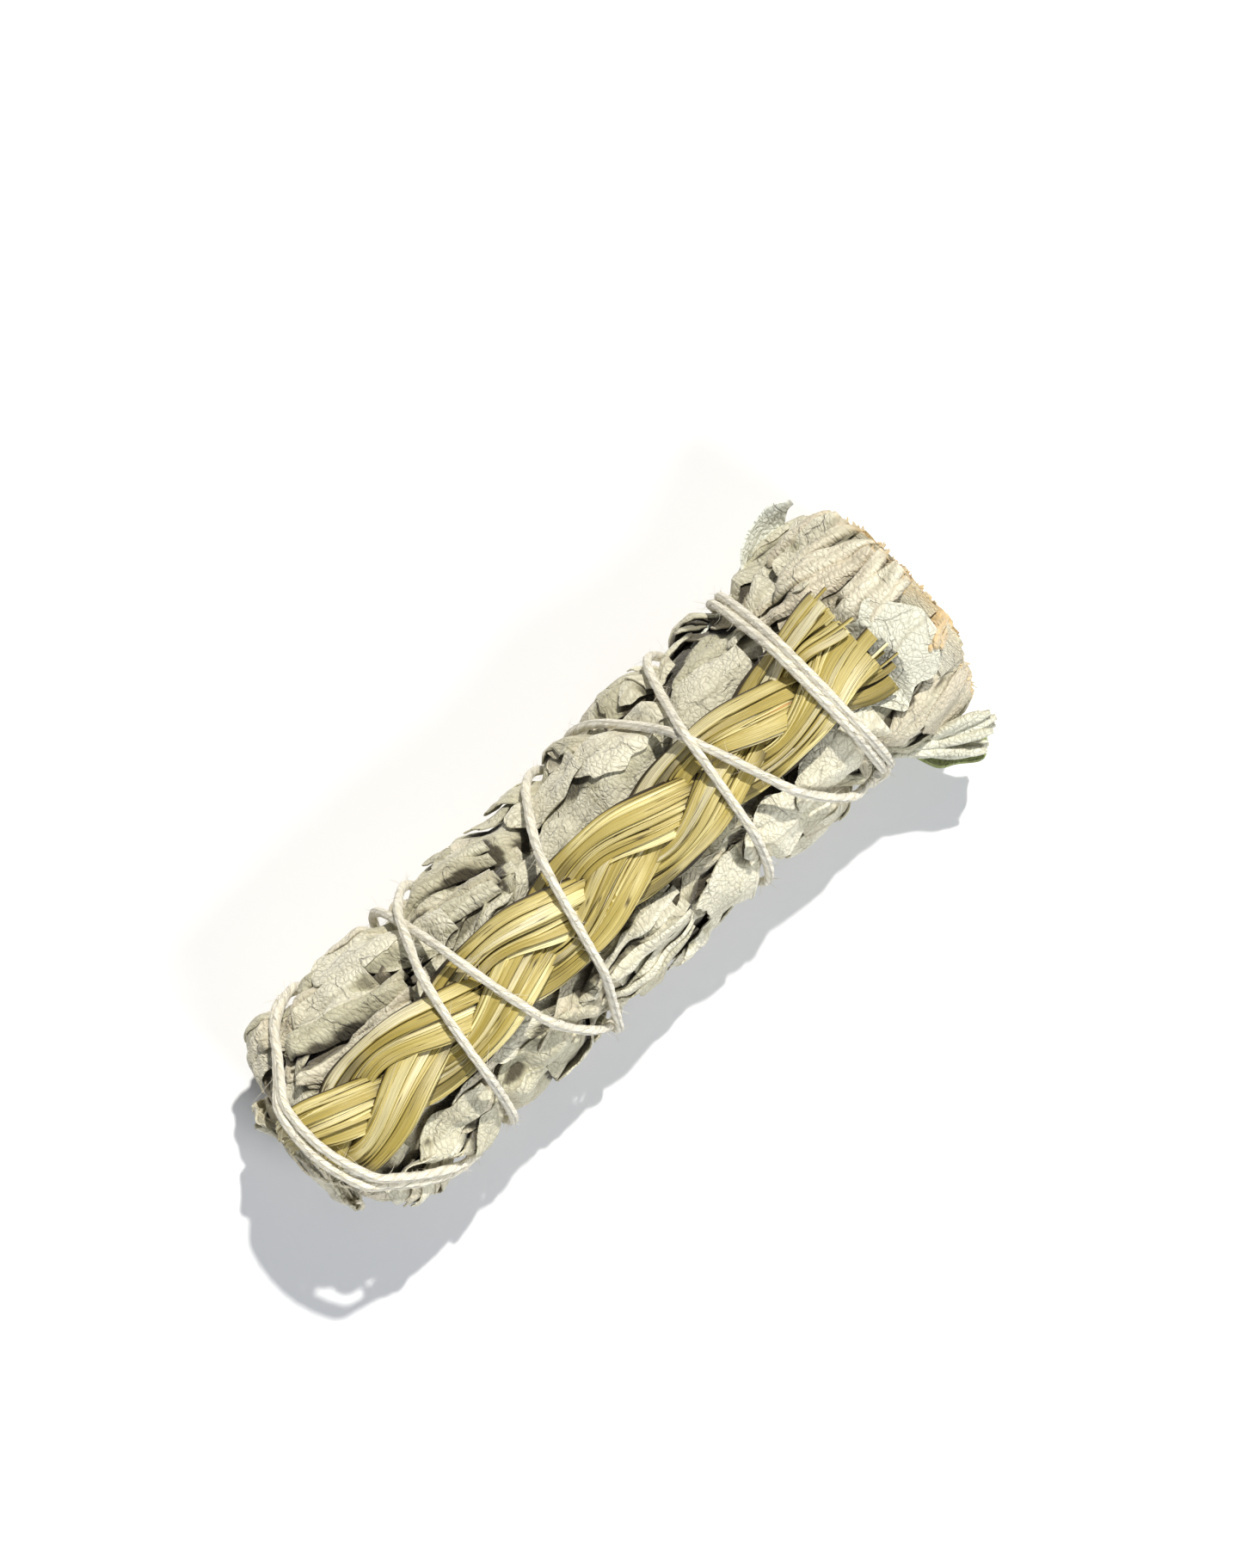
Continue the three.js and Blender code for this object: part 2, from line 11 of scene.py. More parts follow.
import bpy
import numpy as np
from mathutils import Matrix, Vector


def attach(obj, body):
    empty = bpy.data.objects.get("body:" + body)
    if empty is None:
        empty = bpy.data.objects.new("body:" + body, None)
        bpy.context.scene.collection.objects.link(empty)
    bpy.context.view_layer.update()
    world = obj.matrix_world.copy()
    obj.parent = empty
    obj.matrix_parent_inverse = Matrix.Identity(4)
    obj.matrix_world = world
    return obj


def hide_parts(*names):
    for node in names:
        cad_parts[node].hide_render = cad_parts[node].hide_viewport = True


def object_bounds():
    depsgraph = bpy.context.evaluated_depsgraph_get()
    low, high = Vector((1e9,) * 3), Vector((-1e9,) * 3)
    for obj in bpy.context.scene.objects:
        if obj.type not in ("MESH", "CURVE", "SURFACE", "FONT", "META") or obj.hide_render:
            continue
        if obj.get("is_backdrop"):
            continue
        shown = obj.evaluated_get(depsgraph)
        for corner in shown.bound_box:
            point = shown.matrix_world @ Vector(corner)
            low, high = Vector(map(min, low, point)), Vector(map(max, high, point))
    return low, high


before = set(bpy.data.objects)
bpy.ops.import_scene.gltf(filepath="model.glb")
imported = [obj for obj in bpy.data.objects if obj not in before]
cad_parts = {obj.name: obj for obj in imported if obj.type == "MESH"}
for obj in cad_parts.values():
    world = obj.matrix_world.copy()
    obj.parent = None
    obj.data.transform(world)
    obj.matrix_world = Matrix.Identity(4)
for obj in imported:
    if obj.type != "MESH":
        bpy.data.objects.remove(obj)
cad_low, cad_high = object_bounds()
print("solids:", len(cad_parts), "box in mm:", [round(1000 * side) for side in cad_high - cad_low])

# %% [markdown]
# ## The shape under everything
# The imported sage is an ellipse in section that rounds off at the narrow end. Every place on the stick can
# be named by a distance along its surface, an angle round it and a height above it, so leaves, braid and
# string can all be draped with the same few formulas. They work on whole arrays of points, in millimetres.

# %% Sizes of the stick
MM = 0.001
SHIFT = np.array([0.9, 1.15, 0.0])  # from the stick's own axis to the middle of the box
HALF_WIDTH = 14.2
HALF_HEIGHT = 12.5
AXIS_HEIGHT = 14.45
SHOULDER = -44.0
NOSE_DEPTH = 8.0
NOSE_ARC = 19.0
NOSE_BLUNTNESS = 0.7
NOSE_END = 0.97  # share of its quarter turn at which the narrow end stops short of a point
POLE = -62.2  # the surface distance where the narrow end closes
BUTT = 51.0
WAIST = {"at": -2, "spread": 16, "depth": 0.05}  # depths are shares of the girth
TIED = {"at": 33, "spread": 6, "depth": 0.04}
FLARE = {"from": 38, "to": 52, "rise": 0.02}
print("the core is", 2 * HALF_WIDTH, "mm wide and", 2 * HALF_HEIGHT, "mm high")


# %% Places on the stick
def smoothstep(value, low, high):
    share = np.clip((value - low) / (high - low), 0, 1)
    return share * share * (3 - 2 * share)


def girth(along):
    """The stick's X and its share of the full girth at a surface distance."""
    along = np.asarray(along, float)
    turn = np.clip((SHOULDER - along) / NOSE_ARC, 0, NOSE_END) * math.pi / 2
    share = 1 + FLARE["rise"] * smoothstep(along, FLARE["from"], FLARE["to"])
    for dip in (WAIST, TIED):
        share = share - dip["depth"] * np.exp(-(((along - dip["at"]) / dip["spread"]) ** 2))
    in_nose = along < SHOULDER
    x = np.where(in_nose, SHOULDER - NOSE_DEPTH * np.sin(turn), along)
    return x, np.where(in_nose, np.cos(turn) ** NOSE_BLUNTNESS, share)


def together(*parts):
    """Coordinates of any shapes that fit each other, as one array of points."""
    return np.stack(np.broadcast_arrays(*parts), axis=-1)


def core_point(along, angle):
    """The place on the core's surface."""
    x, share = girth(along)
    turn = np.radians(angle)
    y = HALF_WIDTH * share * np.cos(turn)
    z = AXIS_HEIGHT + HALF_HEIGHT * share * np.sin(turn)
    return together(x, y, z)


def unit(vectors):
    return vectors / np.maximum(np.linalg.norm(vectors, axis=-1, keepdims=True), 1e-9)


def core_normal(along, angle):
    nudge = 0.05
    lengthways = core_point(along + nudge, angle) - core_point(along - nudge, angle)
    around = core_point(along, angle + nudge) - core_point(along, angle - nudge)
    return unit(np.cross(around, lengthways))


def on_core(along, angle, out):
    """The place that far out from the core's surface."""
    along, angle, out = np.broadcast_arrays(along, angle, out)
    return core_point(along, angle) + core_normal(along, angle) * out[..., None]


print("top of the core:", core_point(0.0, 90.0).round(2))

# %% [markdown]
# ## Camera, light and floor
# The photograph looks straight down on the stick, which lies across the frame with its cut end to the upper
# right. A long lens keeps perspective low. The light comes from the top of the picture and is fairly crisp,
# so it is a sun of some width. A broad light from the lower right and a pale sky fill its shadows, and the
# stick lies on a pale floor.

# %% Camera, light and floor
PICTURE_TURN = math.radians(43)  # the picture's right is this far below the stick's axis
VIEW_MIDDLE = (9.29, 6.79, 16.0)
VIEW_HEIGHT = 196.9
CAMERA_DISTANCE = 600.0
SENSOR = 36.0
picture_right = np.array([math.cos(PICTURE_TURN), -math.sin(PICTURE_TURN), 0])
picture_up = np.array([math.sin(PICTURE_TURN), math.cos(PICTURE_TURN), 0])


def put_in_scene(name, data):
    thing = bpy.data.objects.new(name, data)
    bpy.context.scene.collection.objects.link(thing)
    return thing


camera = put_in_scene("camera", bpy.data.cameras.new("camera"))
camera.location = np.array(VIEW_MIDDLE) * MM + np.array([0, 0, CAMERA_DISTANCE * MM])
camera.rotation_euler = (0, 0, -PICTURE_TURN)
camera.data.sensor_fit = "VERTICAL"
camera.data.sensor_height = SENSOR
camera.data.sensor_width = SENSOR
camera.data.lens = SENSOR * CAMERA_DISTANCE / VIEW_HEIGHT
camera.data.clip_start = 0.01
bpy.context.scene.camera = camera

LIGHT_DISTANCE = 0.9  # in metres


def shine(name, kind, direction, energy, **settings):
    """A light that shines from that direction towards the stick."""
    light = put_in_scene(name, bpy.data.lights.new(name, kind))
    light.data.energy = energy
    for setting, value in settings.items():
        setattr(light.data, setting, value)
    towards = Vector(direction).normalized()
    light.location = towards * LIGHT_DISTANCE
    light.rotation_euler = towards.to_track_quat("Z", "Y").to_euler()


KEY_FROM = 0.72 * picture_up + 0.2 * picture_right + np.array([0, 0, 1.1])
FILL_FROM = -0.7 * picture_up + 0.75 * picture_right + np.array([0, 0, 1.0])
shine("key", "SUN", KEY_FROM, energy=3.5, angle=math.radians(1.8), color=(1.0, 0.975, 0.93))
shine("fill", "AREA", FILL_FROM, energy=5.0, size=0.4, color=(0.93, 0.96, 1.0))

world = bpy.data.worlds.new("sky")
bpy.context.scene.world = world
world.use_nodes = True
sky = world.node_tree.nodes["Background"]
sky.inputs["Color"].default_value = (0.86, 0.9, 1.0, 1)
sky.inputs["Strength"].default_value = 0.2
bpy.context.scene.view_settings.view_transform = "Standard"

FLOOR_SIDE = 3.0  # in metres
floor_mesh = bpy.data.meshes.new("floor")
corner_signs = ((-1, -1), (1, -1), (1, 1), (-1, 1))
corners = [(x * FLOOR_SIDE / 2, y * FLOOR_SIDE / 2, 0) for x, y in corner_signs]
floor_mesh.from_pydata(corners, [], [(0, 1, 2, 3)])
floor = put_in_scene("floor", floor_mesh)
floor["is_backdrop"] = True
print("lens:", round(camera.data.lens, 1), "mm")

# %% [markdown]
# ## Meshes from arrays
# Leaves, blades and string are all grids of points, so three helpers make nearly everything: one that joins
# the points of a grid into faces, one that gives a sheet its thickness and closes its edge, and one that
# closes a tube. A pile gathers many of them into one piece, and keeps for every point its place on its own
# leaf in mm, for veins and grain, and three tones, for what changes from leaf to leaf and for painted shade.


# %% Grids, sheets and tubes
def grid_faces(rows, columns, closed=False):
    """The faces between the points of a grid, which may close on itself round its rows."""
    index = np.arange(rows * columns).reshape(rows, columns)
    if closed:
        index = np.hstack([index, index[:, :1]])
    corners = [index[:-1, :-1], index[:-1, 1:], index[1:, 1:], index[1:, :-1]]
    return np.stack(corners, axis=-1).reshape(-1, 4)


def sheet_normals(middle):
    return unit(np.cross(np.gradient(middle, axis=1), np.gradient(middle, axis=0)))


def thick_sheet(middle, thickness):
    """The points and faces of a closed sheet round a grid of points."""
    rows, columns = middle.shape[:2]
    offset = sheet_normals(middle) * (np.broadcast_to(thickness, (rows, columns))[..., None] / 2)
    points = np.concatenate([(middle + offset).reshape(-1, 3), (middle - offset).reshape(-1, 3)])
    front = grid_faces(rows, columns)
    under = rows * columns
    index = np.arange(under).reshape(rows, columns)
    rim = np.concatenate([index[0], index[1:, -1], index[-1, -2::-1], index[-2:0:-1, 0]])
    ahead = np.roll(rim, -1)
    edge = np.stack([rim, rim + under, ahead + under, ahead], axis=-1)
    return points, np.concatenate([front, front[:, ::-1] + under, edge])


def round_turn(count):
    """Angles in radians, evenly spaced once round."""
    return np.linspace(0, 2 * math.pi, count, endpoint=False)


def tube(rings):
    """The points and faces of a tube with closed ends, through rings of points."""
    count, sides = rings.shape[:2]
    ends = rings[[0, -1]].mean(axis=1)
    points = np.concatenate([rings.reshape(-1, 3), ends])
    first = np.arange(sides)
    last = first + (count - 1) * sides
    start_cap = np.stack([np.roll(first, -1), first, np.full(sides, count * sides)], axis=-1)
    end_cap = np.stack([last, np.roll(last, -1), np.full(sides, count * sides + 1)], axis=-1)
    return points, grid_faces(count, sides, closed=True), np.concatenate([start_cap, end_cap])


print("faces between 3 by 4 points:", len(grid_faces(3, 4)))


# %% A pile of sheets and tubes
SHARP_ANGLE = math.radians(26)  # folds and edges sharper than this keep a crisp line


class Pile:
    """Meshes gathered into one piece."""

    def __init__(self):
        self.points, self.faces, self.places, self.tones = [], [], [], []
        self.count = 0

    def add(self, points, face_sets, places, tones):
        for faces in face_sets:
            self.faces.append(faces + self.count)
        self.points.append(points)
        self.places.append(np.broadcast_to(places, (len(points), 2)))
        self.tones.append(np.broadcast_to(tones, (len(points), 3)))
        self.count += len(points)

    def add_sheet(self, middle, thickness, places, tones, shades=(0.0, 0.0)):
        """Shades are painted shade, lowering tone X on the side the grid's normals point to, and on the other
        one.
        """
        points, faces = thick_sheet(middle, thickness)
        shape = middle.shape[:2]
        values = []
        for given, size in ((places, 2), (tones, 3)):
            full = np.broadcast_to(given, (*shape, size)).reshape(-1, size)
            values.append(np.tile(full, (2, 1)))
        values[1][:, 0] -= np.repeat(shades, shape[0] * shape[1])
        self.add(points, [faces], *values)

    def add_tube(self, rings, places, tones):
        points, sides, caps = tube(rings)
        shape = rings.shape[:2]
        values = []
        for given, size in ((places, 2), (tones, 3)):
            full = np.broadcast_to(given, (*shape, size))
            values.append(np.concatenate([full.reshape(-1, size), full[0, :1], full[-1, :1]]))
        self.add(points, [sides, caps], *values)

    def piece(self, name, material, slot, *nodes):
        """Makes the piece, which rides on the one body and stands for those solids."""
        sizes = np.concatenate([np.full(len(faces), faces.shape[1]) for faces in self.faces])
        corners = np.concatenate([faces.reshape(-1) for faces in self.faces])
        points = (np.concatenate(self.points) + SHIFT) * MM
        mesh = bpy.data.meshes.new(name)
        mesh.vertices.add(len(points))
        mesh.vertices.foreach_set("co", points.astype(np.float32).ravel())
        mesh.loops.add(len(corners))
        mesh.loops.foreach_set("vertex_index", corners.astype(np.int32))
        mesh.polygons.add(len(sizes))
        loop_starts = np.concatenate([[0], np.cumsum(sizes)[:-1]])
        mesh.polygons.foreach_set("loop_start", loop_starts.astype(np.int32))
        mesh.polygons.foreach_set("use_smooth", np.ones(len(sizes), bool))
        places = mesh.uv_layers.new(name="place")
        places.data.foreach_set("uv", np.concatenate(self.places)[corners].astype(np.float32).ravel())
        tones = mesh.attributes.new("tone", "FLOAT_VECTOR", "POINT")
        tones.data.foreach_set("vector", np.concatenate(self.tones).astype(np.float32).ravel())
        mesh.update(calc_edges=True)
        mesh.validate()
        mesh.set_sharp_from_angle(angle=SHARP_ANGLE)
        mesh.materials.append(material)
        made = put_in_scene(name, mesh)
        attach(made, "root")
        if nodes:
            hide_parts(*nodes)
        triangles = int((sizes - 2).sum())
        print(f"{name}: {triangles} triangles")
        return made


# %% [markdown]
# ## Chance that repeats
# No two dry leaves are folded alike, yet the script has to give the same stick each time it runs. So chance
# comes from seeded generators and from two kinds of random surface: soft waves for bends, and flat facets
# between sharp folds for creases. Noise textures could displace the meshes instead, but these surfaces can
# also be read while the leaves are laid on each other.

# %% Waves, creases and draws
def waves(rng, length, stretch=1.0, count=6):
    """A smooth random surface round zero, as a function of x and y, stretched along x."""
    turns = rng.uniform(0, math.pi, count)
    lengths = length * rng.uniform(0.75, 1.35, count)
    starts = rng.uniform(0, 2 * math.pi, count)

    def height(x, y):
        total = 0.0
        for turn, each, start in zip(turns, lengths, starts):
            run = (x * math.cos(turn) / stretch + y * math.sin(turn)) * 2 * math.pi / each
            total = total + np.sin(run + start)
        return total / math.sqrt(count)

    return height


def creases(rng, length, stretch=1.0, count=3):
    """Flat facets between sharp folds, from 0 to 1, as a function of x and y, stretched along x."""
    turns = rng.uniform(0, math.pi, count)
    lengths = length * rng.uniform(0.7, 1.4, count)
    starts = rng.uniform(0, 1, count)

    def height(x, y):
        total = 0.0
        for turn, each, start in zip(turns, lengths, starts):
            run = (x * math.cos(turn) / stretch + y * math.sin(turn)) / each + start
            total = total + np.abs(2 * (run % 1) - 1)
        return total / count

    return height


def draw(leaf, trait):
    """A fixed draw between 0 and 1 for one trait of one leaf."""
    spread = math.sin(leaf * 12.9898 + trait * 78.233) * 43758.5453
    return spread - math.floor(spread)


def between(ends, share):
    return ends[0] + (ends[1] - ends[0]) * share


sample = waves(np.random.default_rng(1), 10.0)(np.arange(200.0), 0.0)
print("a soft wave runs from", sample.min().round(2), "to", sample.max().round(2))

# %% [markdown]
# ## Materials
# Sage leaves are matt and velvety, pale grey green to cream, with a net of fine veins. Sweetgrass is smooth
# and straw to olive, with long fine lines. Cotton is a warm white with twisted fibres. The net and the long
# grain are node groups, because several materials use them with their own sizes. Each group gives masks and
# a height. The colours are mixed in the material, with tones that were stored on the mesh. Some of the
# colour is painted shade, in gaps, crevices, folds, grooves and on inner faces, and some is a painted sheen.


# %% Node helpers
def paint(red, green, blue):
    """A colour as seen on screen, as the linear values that a shader takes."""
    linear = []
    for level in (red, green, blue):
        share = level / 255
        linear.append(share / 12.92 if share <= 0.04045 else ((share + 0.055) / 1.055) ** 2.4)
    return [*linear, 1.0]


class Nodes:
    """A node tree with short ways to add and join nodes."""

    def __init__(self, tree):
        self.tree = tree

    def feed(self, socket, value):
        if isinstance(value, bpy.types.NodeSocket):
            self.tree.links.new(value, socket)
        elif value is not None:
            socket.default_value = value

    def add(self, kind, output=0, inputs=(), **settings):
        node = self.tree.nodes.new("ShaderNode" + kind)
        for name, value in settings.items():
            setattr(node, name, value)
        for name, value in dict(inputs).items():
            self.feed(node.inputs[name], value)
        return node.outputs[output]

    def math(self, operation, first, second=None, third=None):
        values = {0: first}
        if second is not None:
            values[1] = second
        if third is not None:
            values[2] = third
        return self.add("Math", 0, values, operation=operation)

    def ramp(self, value, low, high, to_low=0.0, to_high=1.0):
        """The value eased from low to high, as a value between the two others."""
        inputs = {"Value": value, "From Min": low, "From Max": high, "To Min": to_low, "To Max": to_high}
        return self.add("MapRange", 0, inputs, interpolation_type="SMOOTHSTEP")

    def mix(self, share, first, second, blend="MIX"):
        node = self.tree.nodes.new("ShaderNodeMix")
        node.data_type = "RGBA"
        node.blend_type = blend
        for name, value in (("Factor_Float", share), ("A_Color", first), ("B_Color", second)):
            socket = next(each for each in node.inputs if each.identifier == name)
            self.feed(socket, value)
        return next(each for each in node.outputs if each.identifier == "Result_Color")

    def group(self, group, **inputs):
        node = self.tree.nodes.new("ShaderNodeGroup")
        node.node_tree = group
        for name, value in inputs.items():
            self.feed(node.inputs[name.replace("_", " ")], value)
        return node.outputs


print("middle grey as a shader takes it:", round(paint(128, 128, 128)[0], 3))


# %% The net of veins
def new_group(name, inputs, outputs):
    """An empty group with its sockets, as (group, nodes, input sockets, output node)."""
    group = bpy.data.node_groups.new(name, "ShaderNodeTree")
    for label, kind, value in inputs:
        socket = group.interface.new_socket(name=label, in_out="INPUT", socket_type="NodeSocket" + kind)
        if value is not None:
            socket.default_value = value
    for label, kind in outputs:
        group.interface.new_socket(name=label, in_out="OUTPUT", socket_type="NodeSocket" + kind)
    nodes = Nodes(group)
    source = group.nodes.new("NodeGroupInput")
    sink = group.nodes.new("NodeGroupOutput")
    return group, nodes, source.outputs, sink.inputs


def build_net_veins():
    """Veins of a leaf from its place in mm, as two nets, side veins and a midrib, and its creases."""
    group, n, given, result = new_group(
        "Net veins",
        [("Place", "Vector", None), ("Cell", "Float", 0.9)],
        [("Vein", "Float"), ("Crease", "Float"), ("Height", "Float")])
    bent = n.add("TexNoise", "Color", {"Vector": given["Place"], "Scale": 0.35, "Detail": 1.0})
    shifted = n.add("VectorMath", 0, {0: bent, 1: (1.4, 1.4, 0.0)}, operation="MULTIPLY")
    place = n.add("VectorMath", 0, {0: given["Place"], 1: shifted}, operation="ADD")
    nets = []
    for coarseness, width in ((1.0, 0.16), (2.7, 0.09)):
        size = n.math("DIVIDE", 1 / coarseness, given["Cell"])
        edge = n.add(
            "TexVoronoi", "Distance", {"Vector": place, "Scale": size},
            feature="DISTANCE_TO_EDGE", voronoi_dimensions="2D")
        nets.append((n.ramp(edge, 0.0, width, 1.0, 0.0), edge))
    parts = n.add("SeparateXYZ", 0, {0: place}).node.outputs
    across = n.math("ABSOLUTE", n.math("SUBTRACT", parts["Y"], 0.7))
    slant = n.math("MULTIPLY_ADD", across, 0.75, parts["X"])
    off_vein = n.math("PINGPONG", slant, 1.9)
    side = n.ramp(off_vein, 0.0, 0.16, 0.8, 0.0)
    midrib = n.ramp(across, 0.1, 0.42, 1.0, 0.0)
    coarse = n.math("MAXIMUM", n.math("MULTIPLY", nets[1][0], 0.8), n.math("MAXIMUM", side, midrib))
    vein = n.math("MAXIMUM", n.math("MULTIPLY", nets[0][0], 0.55), coarse)
    twisted = n.add("TexNoise", "Color", {"Vector": given["Place"], "Scale": 0.5, "Detail": 3.0})
    folded = n.add("VectorMath", 0, {0: twisted, 1: (2.2, 2.2, 0.0)}, operation="MULTIPLY")
    folded = n.add("VectorMath", 0, {0: given["Place"], 1: folded}, operation="ADD")
    fold = n.add(
        "TexVoronoi", "Distance", {"Vector": folded, "Scale": 0.2},
        feature="DISTANCE_TO_EDGE", voronoi_dimensions="2D")
    here = n.add("TexNoise", 0, {"Vector": given["Place"], "Scale": 0.33, "Detail": 1.0})
    crease = n.math("MULTIPLY", n.ramp(fold, 0.0, 0.035, 1.0, 0.0), n.ramp(here, 0.46, 0.58))
    pillow = n.math("SQRT", nets[0][1])
    height = n.math("MULTIPLY_ADD", coarse, -0.25, pillow)
    height = n.math("MULTIPLY_ADD", crease, -0.9, height)
    n.feed(result["Crease"], crease)
    n.feed(result["Vein"], vein)
    n.feed(result["Height"], height)
    return group


net_veins = build_net_veins()
print("group:", net_veins.name)


# %% The long grain
def build_long_grain():
    """Fine lines along a blade or fibre from its place in mm."""
    group, n, given, result = new_group(
        "Long grain",
        [("Place", "Vector", None), ("Fineness", "Float", 5.0), ("Stretch", "Float", 0.03)],
        [("Line", "Float"), ("Patch", "Float"), ("Crack", "Float"), ("Height", "Float")])
    parts = n.add("SeparateXYZ", 0, {0: given["Place"]}).node.outputs
    along = n.math("MULTIPLY", parts["X"], given["Stretch"])
    drawn_out = n.add("CombineXYZ", 0, {"X": along, "Y": parts["Y"]})
    fineness = given["Fineness"]
    fine = n.add("TexNoise", 0, {"Vector": drawn_out, "Scale": fineness, "Detail": 3.0, "Roughness": 0.65})
    coarse_scale = n.math("MULTIPLY", fineness, 0.3)
    coarse = n.add("TexNoise", 0, {"Vector": drawn_out, "Scale": coarse_scale, "Detail": 1.0})
    split_scale = n.math("MULTIPLY", fineness, 0.45)
    split = n.add("TexNoise", "Color", {"Vector": drawn_out, "Scale": split_scale, "Detail": 0.0})
    off_split = n.math("ABSOLUTE", n.math("SUBTRACT", n.add("SeparateXYZ", 0, {0: split}), 0.5))
    crack = n.math("MULTIPLY", n.ramp(off_split, 0.0, 0.026, 1.0, 0.0), n.ramp(coarse, 0.4, 0.55))
    n.feed(result["Line"], n.ramp(fine, 0.36, 0.64))
    n.feed(result["Patch"], n.ramp(coarse, 0.35, 0.65))
    n.feed(result["Crack"], crack)
    n.feed(result["Height"], n.math("SUBTRACT", n.math("MULTIPLY_ADD", coarse, 0.6, fine), crack))
    return group


long_grain = build_long_grain()
print("group:", long_grain.name)


# %% Start a material
def new_material(name, roughness, specular, sheen=0.0):
    """A material with its shader's constants set, as (material, nodes, shader, place, tones)."""
    material = bpy.data.materials.new(name)
    material.use_nodes = True
    n = Nodes(material.node_tree)
    shader = material.node_tree.nodes["Principled BSDF"]
    shader.inputs["Roughness"].default_value = roughness
    shader.inputs["Specular IOR Level"].default_value = specular
    shader.inputs["Sheen Weight"].default_value = sheen
    shader.inputs["Sheen Roughness"].default_value = 0.5
    place = n.add("UVMap", 0, uv_map="place")
    tone = n.add("Attribute", "Vector", attribute_name="tone")
    tones = n.add("SeparateXYZ", 0, {0: tone}).node.outputs
    return material, n, shader, place, tones


def bump(n, shader, height, distance, strength=1.0):
    inputs = {"Height": height, "Distance": distance * MM, "Strength": strength}
    n.feed(shader.inputs["Normal"], n.add("Bump", 0, inputs))


# %% Sage leaves and stems
# The gap colour is painted shade in crevices, and the crease colour is painted shade along folds.
LEAF_PAINTS = {
    "vein": paint(150, 141, 112), "down": paint(248, 244, 232), "crease": paint(120, 108, 80),
    "gap": paint(62, 54, 38), "cut edge": paint(214, 178, 114),
}


def build_sage(name, pale, deep, blush):
    """Velvety leaf. Tone X lightens it and below zero turns to painted shade, Y warms it, Z is the tan of a
    cut edge.
    """
    material, n, shader, place, tones = new_material(name, 0.9, 0.25, sheen=0.25)
    veins = n.group(net_veins, Place=place, Cell=0.7)
    blotch = n.add("TexNoise", 0, {"Vector": place, "Scale": 0.22, "Detail": 4.0, "Roughness": 0.6})
    fleck = n.add("TexNoise", 0, {"Vector": place, "Scale": 3.0, "Detail": 2.0})
    lightness = n.math("MULTIPLY_ADD", n.math("SUBTRACT", blotch, 0.5), 1.1, tones["X"])
    body = n.mix(n.ramp(lightness, 0.0, 1.0), deep, pale)
    warmth = n.math("MULTIPLY_ADD", n.math("SUBTRACT", blotch, 0.5), -0.9, tones["Y"])
    body = n.mix(n.ramp(warmth, 0.35, 1.0, 0.0, 0.75), body, blush)
    body = n.mix(n.math("MULTIPLY", veins["Vein"], 0.36), body, LEAF_PAINTS["vein"])
    body = n.mix(n.ramp(fleck, 0.55, 0.75, 0.0, 0.16), body, LEAF_PAINTS["down"])
    # Painted shade along the fold lines, which are also grooves in the bump.
    body = n.mix(n.math("MULTIPLY", veins["Crease"], 0.25), body, LEAF_PAINTS["crease"])
    # Painted shade where tone X is below zero: buried places, crevices and inner faces.
    body = n.mix(n.ramp(tones["X"], -0.9, 0.1, 0.92, 0.0), body, LEAF_PAINTS["gap"])
    tan_share = n.math("MULTIPLY", tones["Z"], n.ramp(fleck, 0.3, 0.62, 0.55, 1.0))
    body = n.mix(tan_share, body, LEAF_PAINTS["cut edge"])
    n.feed(shader.inputs["Base Color"], body)
    soft = n.add("TexNoise", 0, {"Vector": place, "Scale": 5.5, "Detail": 3.0})
    wrinkle = n.add(
        "TexNoise", 0, {"Vector": place, "Scale": 1.3, "Detail": 4.0, "Roughness": 0.6, "Distortion": 0.8})
    height = n.math("MULTIPLY_ADD", soft, 0.35, veins["Height"])
    height = n.math("MULTIPLY_ADD", wrinkle, 1.6, height)
    bump(n, shader, height, 0.18, 1.0)
    return material


sage_material = build_sage("sage_leaf", paint(232, 227, 203), paint(193, 188, 159), paint(224, 210, 184))
# A darker copy of the leaf material, as painted shade for the packed middle that only shows in deep gaps.
packed_shade_material = build_sage("sage_packed_shade", paint(150, 142, 112), paint(106, 99, 74), paint(140, 118, 92))
silver_material = build_sage(
    "sage_silver", paint(226, 224, 203), paint(202, 201, 178), paint(216, 209, 186))
pale_material = build_sage(
    "pale_green_leaf", paint(248, 250, 236), paint(238, 243, 222), paint(236, 240, 214))
green_material = build_sage("green_leaf", paint(146, 158, 96), paint(92, 108, 52), paint(150, 146, 84))


def build_stem():
    """Ridged bark. Tone X is the pale middle at a cut."""
    material, n, shader, place, tones = new_material("sage_stem", 0.85, 0.3)
    grain = n.group(long_grain, Place=place, Fineness=3.0, Stretch=0.06)
    bark = n.mix(grain["Line"], paint(150, 124, 82), paint(198, 172, 124))
    body = n.mix(tones["X"], bark, paint(236, 224, 188))
    n.feed(shader.inputs["Base Color"], body)
    bump(n, shader, grain["Height"], 0.12)
    return material


stem_material = build_stem()
print("sage materials:", [each.name for each in (sage_material, silver_material, stem_material)])


# %% Sweetgrass and cotton
# The patch colour is a painted sheen, and the crack and gap colours are painted shade.
GRASS_PAINTS = {
    "olive": paint(180, 161, 80), "straw": paint(252, 240, 176), "cream": paint(250, 242, 206),
    "burnt": paint(196, 128, 78), "line": paint(128, 106, 48), "patch": paint(240, 226, 156),
    "crack": paint(74, 58, 26), "gap": paint(52, 41, 19),
}


